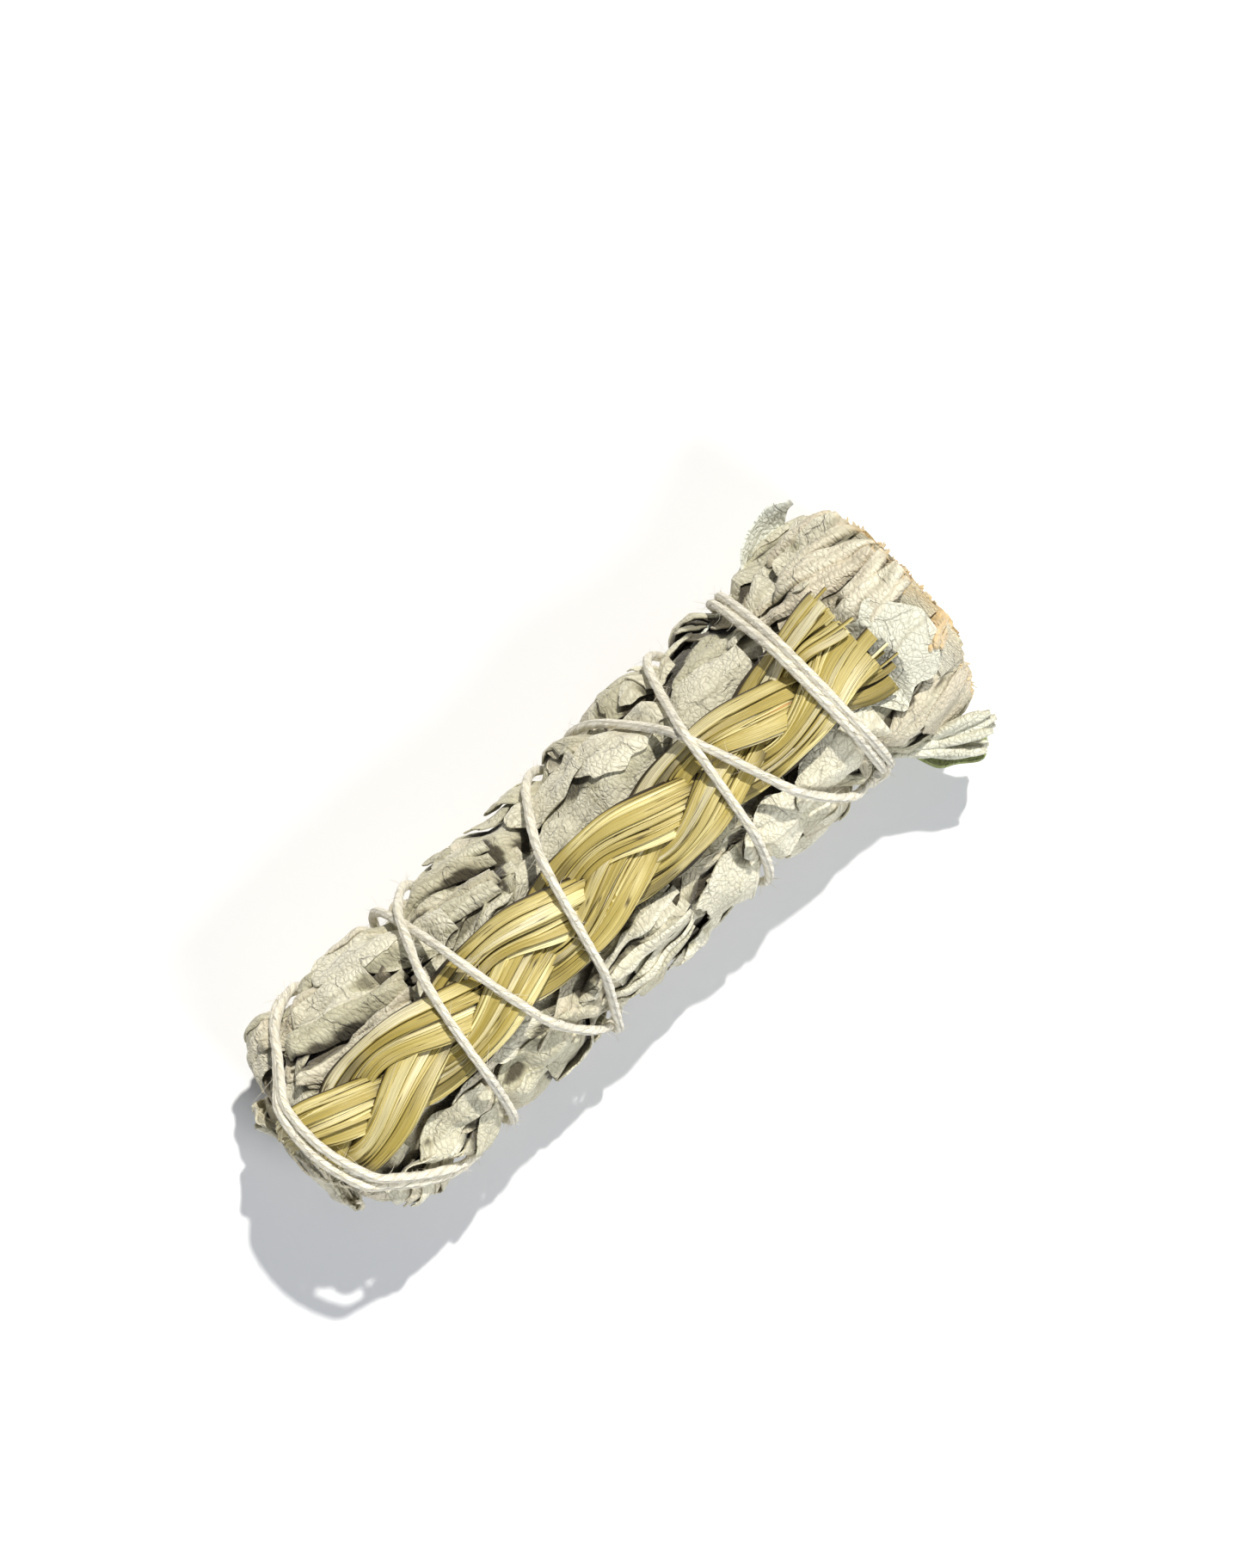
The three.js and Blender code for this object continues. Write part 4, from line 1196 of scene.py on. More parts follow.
def sprig_of(angle):
    return int(((angle - 270) % 360 + 180 / SPRIGS) // (360 / SPRIGS)) % SPRIGS


def spread_angle(number, start=0.0):
    """Angles that fill the round evenly, however many there are."""
    return 360 * ((number * 0.618 + start) % 1)


def scraps():
    """Shorter pieces of leaf among the long leaves."""
    rng = np.random.default_rng(7)
    leaves = []
    for number in range(SCRAPS):
        angle = spread_angle(number)
        tip = rng.uniform(-57, 34)
        base = min(tip + rng.uniform(12, 21), rim_at(angle) - rng.uniform(0, 1))
        if math.sin(math.radians(angle)) > UNDER_BRAID:
            continue
        cut = rng.choice([1.0, 0.86])
        leaves.append(leaf_at(
            sprig_of(angle), 200 + number, base, tip, angle, rng.uniform(2.6, 4.4),
            yaw=rng.uniform(-25, 25), cut=cut, fold=rng.uniform(0.3, 1.4), crumple=rng.uniform(0.2, 0.9)))
    return leaves


def torn_scraps():
    """Small angular pieces on top of the long leaves."""
    rng = np.random.default_rng(17)
    leaves = []
    for number in range(TORN_SCRAPS):
        angle = spread_angle(number, 0.37)
        tip = rng.uniform(-54, 44)
        base = min(tip + rng.uniform(6, 13), rim_at(angle) - rng.uniform(0, 1))
        if math.sin(math.radians(angle)) > UNDER_BRAID or base - tip < 5:
            continue
        leaves.append(leaf_at(
            sprig_of(angle), 700 + number, base, tip, angle, rng.uniform(1.4, 3.4),
            yaw=rng.uniform(-40, 40), cut=rng.choice([1.0, 0.8, 0.7]), dome=rng.uniform(0.2, 0.9),
            tip_lift=rng.uniform(0.1, 0.6), ruffle=rng.uniform(0.0, 0.4)))
    return leaves


shingled += scraps() + torn_scraps()
print("with scraps:", len(shingled))


# %% Leaves for places of their own
BEDDING = {"count": 8, "first_tip": -59, "pitch": 12.5, "length": 20, "half_width": 4.4}
BEDDING_ANGLES = (69, 112)
NARROW = 34
NOSE_TIPS = 22
PLACED_ANGLES = (36, 124)  # beside the braid's end, where leaves are placed one by one


def bedding_leaves():
    """Plain leaves beside and below the braid, where the long ones leave off."""
    leaves = []
    for number in range(BEDDING["count"]):
        tip = BEDDING["first_tip"] + BEDDING["pitch"] * number
        base = min(tip + BEDDING["length"], BUTT)
        for side, angle in enumerate(BEDDING_ANGLES):
            leaves.append(leaf_at(
                sprig_of(angle), 600 + 2 * number + side, base, tip, angle, BEDDING["half_width"],
                dome=0.3, fold=0.3))
    return leaves


def narrow_leaves():
    """Leaves folded along their length, towards the cut end."""
    rng = np.random.default_rng(11)
    leaves = []
    for number in range(NARROW):
        angle = spread_angle(number, 0.1)
        tip = rng.uniform(22, 38)
        if PLACED_ANGLES[0] < angle < PLACED_ANGLES[1]:
            continue
        base = rim_at(angle) - rng.uniform(0, 0.8)
        leaves.append(leaf_at(
            sprig_of(angle), 300 + number, base, tip, angle, rng.uniform(1.0, 2.4),
            yaw=rng.uniform(-22, 22), bow=rng.uniform(-7, 7), dome=rng.uniform(0.8, 1.6), fold=0.6,
            tip_lift=0.2, rolls=[{"lap": 0.7, "radius": 0.5}, {"lap": 0.0, "radius": 0.5}]))
    return leaves


def nose_tips():
    """Small leaves round the narrow end."""
    rng = np.random.default_rng(13)
    leaves = []
    for number in range(NOSE_TIPS):
        angle = 360 * number / NOSE_TIPS + rng.uniform(-8, 8)
        base = rng.uniform(-47, -40)
        tip = rng.uniform(-62, -59.5)
        leaves.append(leaf_at(
            sprig_of(angle), 400 + number, base, tip, angle, rng.uniform(2.4, 3.8),
            yaw=rng.uniform(-15, 15), dome=rng.uniform(0.8, 1.6), crumple=0.5,
            tip_lift=rng.uniform(0.2, 1.2)))
    return leaves


shingled += nose_tips()
print("with the narrow end's:", len(shingled))


# %% Bunches of rolled leaves
NO_ROLLS = [{"lap": 0.0, "radius": 0.6}, {"lap": 0.0, "radius": 0.6}]
BUNCHES = (  # narrow leaves rolled up along their length, side by side
    {
        "seed": 530, "count": 6, "base": -10, "tip": -29, "angles": (32, 62), "yaw": -10,
        "half_width": 1.3, "dome": 1.5,
    },
    {
        "seed": 510, "count": 9, "base": -27, "tip": -48, "angles": (34, 80), "yaw": -9,
        "half_width": 1.3, "dome": 1.6,
    },
    {
        "seed": 520, "count": 7, "base": 5, "tip": -13, "angles": (122, 152), "yaw": 6,
        "half_width": 1.0, "dome": 0.9,
    },
)


def finger_leaves():
    """The bunches of rolled leaves that show in the photograph."""
    leaves = []
    for bunch in BUNCHES:
        rng = np.random.default_rng(bunch["seed"])
        for number in range(bunch["count"]):
            angle = between(bunch["angles"], number / (bunch["count"] - 1)) + rng.uniform(-2, 2)
            base = bunch["base"] + rng.uniform(-2.5, 0.4)
            tip = bunch["tip"] + rng.uniform(-2, 3)
            leaves.append(leaf_at(
                sprig_of(angle), bunch["seed"] + number, base, tip, angle,
                bunch["half_width"] * rng.uniform(0.7, 1.3),
                yaw=bunch["yaw"] + rng.uniform(-9, 9), bow=rng.uniform(-4, 4),
                dome=bunch["dome"] * rng.uniform(0.8, 1.3), fold=0.4, crumple=0.4, tip_lift=0.3,
                rolls=NO_ROLLS))
    return leaves


print("bunches of rolled leaves:", len(BUNCHES))


# %% Single leaves placed one by one
FLAT = {
    "dome": 0.5, "fold": 0.12, "crumple": 0.1, "tip_lift": 0.3, "ruffle": 0.2, "jag": 0.3, "stiff": 1.1,
    "lift": 0.25, "rolls": NO_ROLLS,
}
CREASED = {"dome": 0.8, "fold": 0.8, "crumple": 0.4, "tip_lift": 0.6, "jag": 0.6, "rolls": NO_ROLLS}
FOLDED = {"dome": 2.2, "fold": 0.6, "crumple": 0.4, "tip_lift": 0.2, "rolls": NO_ROLLS}
SMOOTHEST = {**FLAT, "crumple": 0.05, "jag": 0.1, "tip_lift": 0.1, "stiff": 2.0, "lift": 0.15}
RIM_RIDGES = 6


def placed_leaves():
    """Single leaves that catch the eye, on the flanks and round the braid's end."""
    flanks = [
        leaf_at(3, 501, 30, 6, 62, 4.9, yaw=-4, tone=(0.7, 0.3, 0.0), **{**FLAT, "fold": 0.3}),
        leaf_at(3, 502, 18, -6, 50, 4.6, yaw=5, tone=(0.6, 0.35, 0.0), **{**FLAT, "fold": 0.4}),
        leaf_at(2, 505, 18, 4.5, 48, 3.4, yaw=-3, tone=(0.8, 0.45, 0.0), rim=0.6, **CREASED),
        leaf_at(3, 509, 4, -11, 63, 3.4, yaw=6, tone=(0.7, 0.35, 0.0), rim=0.5, **CREASED),
        leaf_at(2, 519, 6, -5.5, 38, 3.0, yaw=-8, tone=(0.75, 0.45, 0.0), rim=0.7, **CREASED),
        leaf_at(2, 541, -19, -31, 56, 2.6, yaw=-15, tone=(1.0, 0.35, 0.0), rim=0.5, **CREASED),
        leaf_at(2, 542, -24, -37, 38, 2.7, yaw=-12, tone=(1.0, 0.4, 0.0), rim=0.6, **CREASED),
        leaf_at(2, 543, -31, -43, 49, 2.3, yaw=-12, tone=(0.85, 0.45, 0.0), rim=0.7, **CREASED),
        leaf_at(4, 544, -16, -30, 138, 2.8, yaw=8, tone=(0.35, 0.3, 0.0), rim=0.5, **CREASED),
        leaf_at(5, 545, -23, -37, 151, 2.6, yaw=10, tone=(0.4, 0.3, 0.0), rim=0.5, **CREASED),
        leaf_at(4, 546, -30, -43, 133, 2.3, yaw=11, tone=(0.5, 0.4, 0.0), rim=0.6, **CREASED),
        leaf_at(4, 503, 20, 2, 146, 5.4, yaw=8, cut=0.86, tone=(0.75, 0.35, 0.0), **FLAT),
        leaf_at(4, 507, 29, 13.5, 143, 4.2, yaw=-6, fold=1.5, crumple=1.1, dome=1.0, tone=(0.9, 0.2, 0.0)),
        leaf_at(4, 508, 37, 22.0, 129, 3.6, yaw=4, tone=(0.8, 0.25, 0.0), **{**FLAT, "fold": 0.5}),
    ]
    cut_end = [
        leaf_at(2, 550, 51.4, 35, 70, 3.8, yaw=-6, tone=(0.7, 0.75, 0.0), **{**FLAT, "fold": 0.4}),
        leaf_at(
            2, 551, 50.4, 39, 40, 4.4, yaw=8, fold=1.6, crumple=1.3, dome=1.6, lift=0.8,
            tone=(0.8, 0.3, 0.0)),
        leaf_at(2, 554, 50.2, 32, 66, 1.7, yaw=-17, bow=3, tone=(0.75, 0.8, 0.0), **FOLDED),
        leaf_at(2, 555, 49.6, 34, 56, 1.2, yaw=-14, bow=-3, tone=(0.8, 0.6, 0.0), **FOLDED),
        leaf_at(3, 552, 51.3, 39, 84, 1.5, yaw=15, bow=2, tone=(0.8, 0.6, 0.0), **FOLDED),
        leaf_at(3, 553, 51.0, 43, 88, 1.1, yaw=6, bow=-2, tone=(0.85, 0.7, 0.0), **FOLDED),
        leaf_at(4, 506, 49.5, 40, 158, 4.0, yaw=4, tone=(0.2, 0.8, 0.0), **FLAT),
    ]
    orange = [
        leaf_at(
            3, 540 + number, 51.6, 46.8 + 0.7 * number, 113 + 4.4 * number, 0.8, yaw=14 - 9 * number,
            dome=2.0, fold=0.4, tone=(0.9, 1.0, 0.75 - 0.1 * number), rim=0.9, lift=0.05, rolls=NO_ROLLS)
        for number in range(3)
    ]
    rng = np.random.default_rng(560)
    ridges = []
    for number in range(RIM_RIDGES):
        angle = between((32, 80), number / (RIM_RIDGES - 1)) + rng.uniform(-2, 2)
        ridges.append(leaf_at(
            sprig_of(angle), 560 + number, rim_at(angle) - rng.uniform(0, 0.9), rng.uniform(37, 43), angle,
            rng.uniform(0.8, 1.5), yaw=rng.uniform(-18, 12), bow=rng.uniform(-4, 4),
            tone=(rng.uniform(0.4, 1.0), rng.uniform(0.5, 0.95), 0.0),
            **{**FOLDED, "dome": rng.uniform(2.2, 3.4)}))
    return flanks + cut_end + ridges + orange


# %% Lay every leaf
leafy = [Pile() for _ in range(SPRIGS)]
silver = Pile()
shingled.sort(key=lambda leaf: leaf["tip"])
all_leaves = [*bedding_leaves(), *shingled, *narrow_leaves(), *finger_leaves(), *placed_leaves()]
smooth_leaf = leaf_at(3, 504, 34.5, 49.6, 107, 6.0, tone=(0.9, 0.1, 0.0), rim=0.0, **SMOOTHEST)
all_grids = [lay_leaf(leaf) for leaf in [*all_leaves, smooth_leaf]]
loose_map = softened(highest_near(stack_map, 2.2), 1.6) + 0.2
# These two maps only set where painted shade falls on the leaves.
top_map = softened(highest_near(stack_map, 1.2), 0.5)
edge_map = highest_near(stack_map, 2 * MAP_STEP)
for leaf, grids in zip(all_leaves, all_grids):
    add_leaf(leaf, grids, leafy[leaf["sprig"]])
add_leaf(smooth_leaf, all_grids[-1], silver)
print("leaves:", len(all_grids), "highest loose stack:", stack_map.max().round(1), "mm")

# %% [markdown]
# ## The imported middle and the cut end
# Behind the outer leaves the stick is solid with more leaves, which show only in deep gaps. Single leaves
# there would cost many triangles that nobody sees, so each sprig gets a closed wedge that follows the bed of
# the leaves, in a darker copy of the leaf material that is painted shade. At the cut end the imported leaves
# show as thin curled edges round the stems, so short strips stand there in rings.

# %% Packed wedges
WEDGE = {"rings": 100, "sides": 18, "gap": 0.3, "set_back": 1.6, "lumps": 0.15}
WEDGE_TONES = (0.35, 0.5, 0.0)


def packed_wedge(sprig, pile):
    middle = sprig_middle(sprig)
    half = 180 / SPRIGS - WEDGE["gap"]
    angle = np.linspace(middle - half, middle + half, WEDGE["sides"])[None]
    along = POLE + (rim_at(angle) - WEDGE["set_back"] - POLE) * np.linspace(0, 1, WEDGE["rings"])[:, None]
    around = angle * HALF_WIDTH * math.pi / 180
    lumps = waves(np.random.default_rng(50 + sprig), 4.0, stretch=2.5)
    out = look_up(bed_map, along, angle) + WEDGE["lumps"] * lumps(along, around)
    skin = on_core(along, angle, out)
    x = girth(along[:, :1])[0]
    axis = together(x, 0.0, AXIS_HEIGHT)
    place = together(along, around)
    rings = np.concatenate([skin, axis], axis=1)
    places = np.concatenate([place, place[:, :1]], axis=1)
    pile.add_tube(rings, places, WEDGE_TONES)


# %% Leaf edges at the cut end
EDGE = {"length": (3.0, 8.0), "depth": 4.0, "thickness": 0.42}
RING_SHARES = np.arange(0.14, 1.0, 0.055)  # the rings' sizes, as shares of the stick's
DEGREES = 57.3  # in a radian


def packed_edges(sprig, pile):
    """Thin leaf edges that stand at the cut end, in broken rings."""
    rng = np.random.default_rng(70 + sprig)
    middle = sprig_middle(sprig)
    for share in RING_SHARES:
        start = middle - 180 / SPRIGS + rng.uniform(-6, 6)
        while start < middle + 180 / SPRIGS - 4:
            sweep = rng.uniform(*EDGE["length"]) / (HALF_WIDTH * share) * DEGREES
            angle = np.linspace(start, start + sweep, 12)[None]
            wobble = waves(rng, 40.0, count=3)
            radius = share + 0.035 * wobble(angle, 0.0)
            turn = np.radians(angle)
            end = LEAF_CUT - RIM_ROUNDING * (radius * np.cos(turn)) ** 4 - rng.uniform(0.3, 1.3)
            end = end + 0.25 * waves(rng, 20.0)(angle, 0.0)
            x = end - EDGE["depth"] * np.array([1.0, 0.45, 0.15, 0.0])[:, None]
            y = HALF_WIDTH * radius * np.cos(turn)
            z = AXIS_HEIGHT + HALF_HEIGHT * radius * np.sin(turn)
            grid = together(x, y, z)
            place = together(x * 3, angle * share * 0.25 + 9 * rng.random())
            tan = np.clip(1 + (x - end) / 1.4, 0, 1) * rng.uniform(0.1, 0.7)
            tones = together(rng.uniform(0.1, 0.9), rng.uniform(0.2, 0.8), tan)
            pile.add_sheet(grid, EDGE["thickness"], place, tones)
            start += sweep + rng.uniform(1.0, 6.0)


# %% [markdown]
# ## Crumbs, and the very tip
# Dry leaves shed tan flakes, which catch in the rim at the cut end. Particles could scatter them, but a
# few hundred small bent sheets on the leaves are enough, and they export as they are. At the narrow end the
# long leaves have a hole where they meet, so a few crumpled leaves are laid across it.

# %% Crumbs on the rim
CRUMBS = 380
CRUMB_SIZE = (0.25, 0.8)
CRUMB_THICKNESS = 0.14


def crumbs():
    """Tan flakes caught in the leaf edges round the cut end."""
    rng = np.random.default_rng(90)
    pile = Pile()
    rows = np.linspace(-1, 1, 3)[:, None, None]
    columns = np.linspace(-1, 1, 3)[None, :, None]
    for _ in range(CRUMBS):
        size = rng.uniform(*CRUMB_SIZE)
        angle = rng.choice([rng.uniform(20, 160), rng.uniform(0, 360)])
        along = rim_at(angle) - rng.uniform(0, 1.8)
        out = pressed(look_up(stack_map, along, angle), along, angle) + 0.1
        first, second = unit(rng.normal(size=(2, 3)))
        flake = rows * first * rng.uniform(0.5, 1.2) + columns * second * 0.5
        grid = on_core(along, angle, out) + size * flake
        grid = grid + rng.normal(scale=0.08, size=grid.shape)
        place = (rng.uniform(0, 50), 0.0)
        tones = (rng.uniform(0.3, 1.0), 0.9, rng.uniform(0.2, 0.75))
        pile.add_sheet(grid, CRUMB_THICKNESS, place, tones)
    return pile


# %% Leaves across the narrow end
CLOSING = {"count": 9, "length": (8, 12), "half_width": (1.5, 2.8), "outs": (-0.6, 1.1), "relief": 2.6}


def closing_leaves(pile):
    """Crumpled leaves that cross over the very tip, where the long ones leave a hole."""
    rng = np.random.default_rng(95)
    for number in range(CLOSING["count"]):
        length = rng.uniform(*CLOSING["length"])
        half = rng.uniform(*CLOSING["half_width"])
        share = np.linspace(-1, 1, 25)[:, None]
        across = np.linspace(-1, 1, 13)[None]
        x = share * length / 2 + rng.uniform(-2, 2)
        y = across * half * np.sqrt(1 - 0.96 * share**2) + rng.uniform(-2, 2)
        heading = 2.4 * number
        east = x * math.cos(heading) - y * math.sin(heading)
        north = x * math.sin(heading) + y * math.cos(heading)
        out = between(CLOSING["outs"], number / CLOSING["count"])
        out = out + CLOSING["relief"] * creases(rng, 3.0, stretch=1.8)(x, y)
        out = out + 0.7 * np.abs(share) ** 3 - 0.5 * across**2
        grid = on_core(POLE + np.hypot(east, north) + 0.05, np.degrees(np.arctan2(north, east)), out)
        place = together(x + 30 * number, y)
        # The inner face gets painted shade.
        pile.add_sheet(grid, LEAF_THICKNESS, place, (rng.uniform(0.3, 0.9), 0.6, 0.0), shades=(0.0, 0.6))


closing_leaves(leafy[2])
for sprig in range(SPRIGS):
    packed_edges(sprig, leafy[sprig])
    leafy[sprig].piece(f"sage_leaves_{sprig + 1}", sage_material, "sage_leaf", f"sage_sprig_{sprig + 1}")
    wedge = Pile()
    packed_wedge(sprig, wedge)
    wedge.piece(f"packed_sage_{sprig + 1}", packed_shade_material, "sage_leaf")
crumbs().piece("rim_crumbs", sage_material, "sage_leaf")
silver.piece("smooth_pale_leaf", silver_material, "sage_leaf")

# %% [markdown]
# ## Stems
# A sage stem is woody and nearly square, with ridged bark and a pale soft middle that shows where it is
# cut. A cylinder with a texture would have a round outline, so the ridges are in the mesh: waves round a
# tube, and a slightly dished end. Only the last stretch has many rings, because the rest is inside the
# leaves.

# %% Stems
STEM_RADII = (1.7, 1.4, 1.6, 1.3, 1.8, 1.5)
STEM_LENGTH = 60
STEM_SHOWN = 14
STEM_RINGS = 20
STEM_SIDES = 36
STEM_PLACE = 0.58  # share of the way from the stick's axis to its surface


def stem(sprig):
    rng = np.random.default_rng(110 + sprig)
    middle = math.radians(sprig_middle(sprig))
    centre_y = STEM_PLACE * HALF_WIDTH * math.cos(middle)
    centre_z = AXIS_HEIGHT + STEM_PLACE * HALF_HEIGHT * math.sin(middle)
    turn = round_turn(STEM_SIDES)[None]
    shown = np.linspace(LEAF_CUT - STEM_SHOWN, LEAF_CUT, STEM_RINGS)
    x = np.concatenate([[LEAF_CUT - STEM_LENGTH], shown, np.full(3, LEAF_CUT)])[:, None]
    ridges = 0.05 * np.cos(4 * turn) + 0.025 * np.cos(13 * turn + x / 9) + 0.02 * np.cos(29 * turn)
    radius = STEM_RADII[sprig] * (0.94 + ridges)
    inwards = np.concatenate([np.ones(STEM_RINGS + 1), [0.86, 0.5, 0.15]])[:, None]
    dished = np.concatenate([np.zeros(STEM_RINGS + 1), [0.0, -0.12, -0.2]])[:, None]
    slant = 0.12 * np.cos(turn - rng.uniform(0, 6)) * (x > LEAF_CUT - 0.5)
    y = centre_y + radius * inwards * np.cos(turn)
    z = centre_z + radius * inwards * np.sin(turn)
    place = together(x + 70 * sprig, turn * STEM_RADII[sprig])
    pith = (inwards < 0.95) * 1.0
    pile = Pile()
    pile.add_tube(together(x + dished + slant * inwards, y, z), place, together(pith, 0.0, 0.0 * turn))
    pile.piece(f"stem_{sprig + 1}", stem_material, "sage_stem", f"sage_stem_{sprig + 1}")


for sprig in range(SPRIGS):
    stem(sprig)

# %% [markdown]
# ## Leaves that come out from under the tie
# On one side a tuft of small young leaves sticks out, each rolled up along its length, with a green leaf
# behind it. On the other side a pale leaf stands off. A rolled leaf is a sheet whose section is most of a
# circle, so the slit along it shows.

# %% Rolled leaves
TUFT_STALK = [(22, 184, -2.2), (30, 185, -1.6), (35.6, 186, -1.3), (38.2, 187, 0.4)]
TUFT_STALK_RADIUS = 1.0
TUFT_START = (34.5, 183, 0.2)
YOUNG_LEAF_THICKNESS = 0.22
YOUNG_LEAVES = (  # the tip's distance along, angle and height, and the leaf's radius
    (48.0, 172, 4.6, 0.5), (48.2, 176, 5.4, 0.5), (47.6, 180, 6.0, 0.46), (46.8, 175, 6.5, 0.46),
    (47.0, 170, 3.9, 0.42), (47.4, 183, 5.0, 0.46), (45.6, 184, 7.4, 0.46), (44.8, 181, 7.9, 0.42),
    (43.8, 186, 7.2, 0.46), (43.0, 179, 6.7, 0.4),
)


def frames_along(points):
    """Tangent, side and up at each point of a path, with up as near to outward as it can be."""
    ahead = unit(np.gradient(points, axis=0))
    outward = unit((points - [0, 0, AXIS_HEIGHT]) * [0, 1 / HALF_WIDTH**2, 1 / HALF_HEIGHT**2])
    side = unit(np.cross(outward, ahead))
    return ahead, side, np.cross(ahead, side)


def path_on_core(points, count):
    plan = smooth_through(points, count)
    return on_core(plan[:, 0], plan[:, 1], plan[:, 2])


def rolled_leaf(path, radius, seed):
    """A grid for one leaf rolled up along its length, with the slit below."""
    rng = np.random.default_rng(seed)
    ahead = unit(np.gradient(path, axis=0))
    side = unit(np.cross([0.0, 0.0, 1.0], ahead))
    up = np.cross(ahead, side)
    share = np.linspace(0, 1, len(path))[:, None]
    taper = 0.55 + 0.6 * smoothstep(share, 0, 0.5) - 0.6 * smoothstep(share, 0.86, 1.02)
    turn = np.radians(np.linspace(-75, 255, 20))[None] + 0.35 * waves(rng, 1.5)(share, 0.0)
    furrows = 0.85 + 0.35 * creases(rng, 2.2, stretch=8.0)(share * 12, turn)
    reach = (radius * taper * furrows)[..., None]
    flatness = rng.uniform(0.6, 0.9)
    section = np.cos(turn)[..., None] * side[:, None] + flatness * np.sin(turn)[..., None] * up[:, None]
    place = together(share * 12 + seed, turn * radius)
    return path[:, None] + reach * section, place


def side_sprig():
    """The stalk and its young leaves."""
    pile = Pile()
    stalk = path_on_core(TUFT_STALK, 30)
    _, side, up = frames_along(stalk)
    turn = round_turn(14)[None, :, None]
    rings = stalk[:, None] + TUFT_STALK_RADIUS * (np.cos(turn) * side[:, None] + np.sin(turn) * up[:, None])
    pile.add_tube(rings[:, ::-1], (0.0, 0.0), (0.5, 0.4, 0.0))
    rng = np.random.default_rng(130)
    for number, (along, angle, out, radius) in enumerate(YOUNG_LEAVES):
        start = np.array(TUFT_START) + rng.uniform(-1, 1, 3) * [0.8, 5.0, 0.5]
        tip = np.array([along, angle, out])
        near = between((start, tip), 0.35)
        far = between((start, tip), 0.7)
        bend = rng.uniform(-1, 1, 3) * [0, 6.0, 0.5]
        path = path_on_core([start, near + bend, far - 0.6 * bend, tip], 26)
        grid, place = rolled_leaf(path, radius, number)
        tones = (rng.uniform(0.7, 1.0), rng.uniform(0.0, 0.3), 0.0)
        # The inside of the roll gets painted shade.
        pile.add_sheet(grid, YOUNG_LEAF_THICKNESS, place, tones, shades=(0.0, 0.8))
    return pile


side_sprig().piece("rolled_young_leaves", silver_material, "sage_leaf", "side_sprig")

# %% Stray leaves
GREEN_LEAF = {
    "base": 27, "tip": 46.8, "angle": 194, "drift": 0, "half_width": 2.9, "twist": -72,
    "rise": [-1.3, 1.2, 4.0, 6.2, 6.6], "hook": 0.0, "seed": 5,
}
LOOSE_LEAF = {
    "base": 26, "tip": 47.6, "angle": 3, "drift": 5, "half_width": 2.2, "twist": 66,
    "rise": [-1.3, 0.9, 2.4, 3.4, 3.5], "hook": 1.6, "seed": 6,
}
STRAY_STATIONS = (0, 0.46, 0.62, 0.84, 1)
STRAY_OUTLINE = (0.35, 0.55, 0.85, 1, 0.25)
STRAY_THICKNESS = 0.35


def stray_leaf(values):
    """A leaf held by the tie at its base, that bends away from the stick. The hook bends its tip."""
    rng = np.random.default_rng(values["seed"])
    share = np.linspace(0, 1, 70)[:, None]
    across = np.linspace(-1, 1, 21)[None]
    key_points = np.column_stack([STRAY_STATIONS, STRAY_OUTLINE, values["rise"]])
    curve = smooth_through(key_points, 200)
    wide = np.interp(share, curve[:, 0], curve[:, 1]) * values["half_width"]
    wide = wide * np.sqrt(np.maximum(1 - smoothstep(share, 0.8, 1.02) ** 2, 0.02))
    rise = np.interp(share, curve[:, 0], curve[:, 2])
    along = values["base"] + (values["tip"] - values["base"]) * share
    bend = values["hook"] * smoothstep(share, 0.8, 1.0)
    waved = 0.25 * waves(rng, 5.0)(share * 20, across * wide)
    waved = waved + 0.5 * np.abs(across) ** 2 * np.sin(share * 14)
    twist = math.radians(values["twist"]) * smoothstep(share, 0.45, 0.75)
    sideways = across * wide * np.cos(twist)
    angle = values["angle"] + values["drift"] * share + np.degrees((sideways + bend) / HALF_WIDTH)
    outwards = rise + across * wide * np.sin(twist) + waved * smoothstep(share, 0.4, 0.7)
    return on_core(along, angle, outwards), together(share * 20 + values["seed"], across * wide)


for name, values, material, slot, node in (
    ("green_sage_leaf", GREEN_LEAF, green_material, "green_leaf", "side_green_leaf"),
    ("pale_loose_leaf", LOOSE_LEAF, pale_material, "sage_leaf", "loose_leaf"),
):
    stray = Pile()
    grid, place = stray_leaf(values)
    stray.add_sheet(grid, STRAY_THICKNESS, place, (0.8, 0.1, 0.0))
    stray.piece(name, material, slot, node)

# %% [markdown]
# ## The sweetgrass braid
# Each strand is a handful of long flat blades laid side by side. Every blade is a thin arched ribbon that
# follows the strand, drifts a little across it, and has one edge under its neighbour. They end in a square
# cut fan at the cut end of the stick and curl down over the narrow end.

# %% Blades of a strand
BLADE_STEP = 0.95
BLADE_THICKNESS = 0.18
WIDE_ACROSS = np.array([-1, -0.86, -0.4, 0, 0.4, 0.86, 1])
NARROW_ACROSS = np.array([-1, -0.75, 0, 0.75, 1])
WIDE_BLADES = 7
NARROW_BLADES = 7
LOWER_BLADES = 3
WIDE_SPREAD = 2.75  # wide blades lie up to this far from a strand's middle
STRAND_STARTS = (-56.5, -51.6, -52.0)
LONG_BLADES = ((0, 8, 12), (7, 9), (1, 10, 13))  # the blades of each strand that stick out of the fan
SHINGLE = -0.44  # blades tilt this much, so that one edge lies on the next blade
ORANGE_BLADES = (3, 9)  # of the last strand
BROAD_BLADES = (1, 5)
PINCH = 0.34  # how much narrower a strand gets where it turns back at the braid's edge
SPREADS = {"fan": 0.45, "narrow_end": -0.2}  # how much wider it gets at the two ends
LAYER_RISE = 0.17


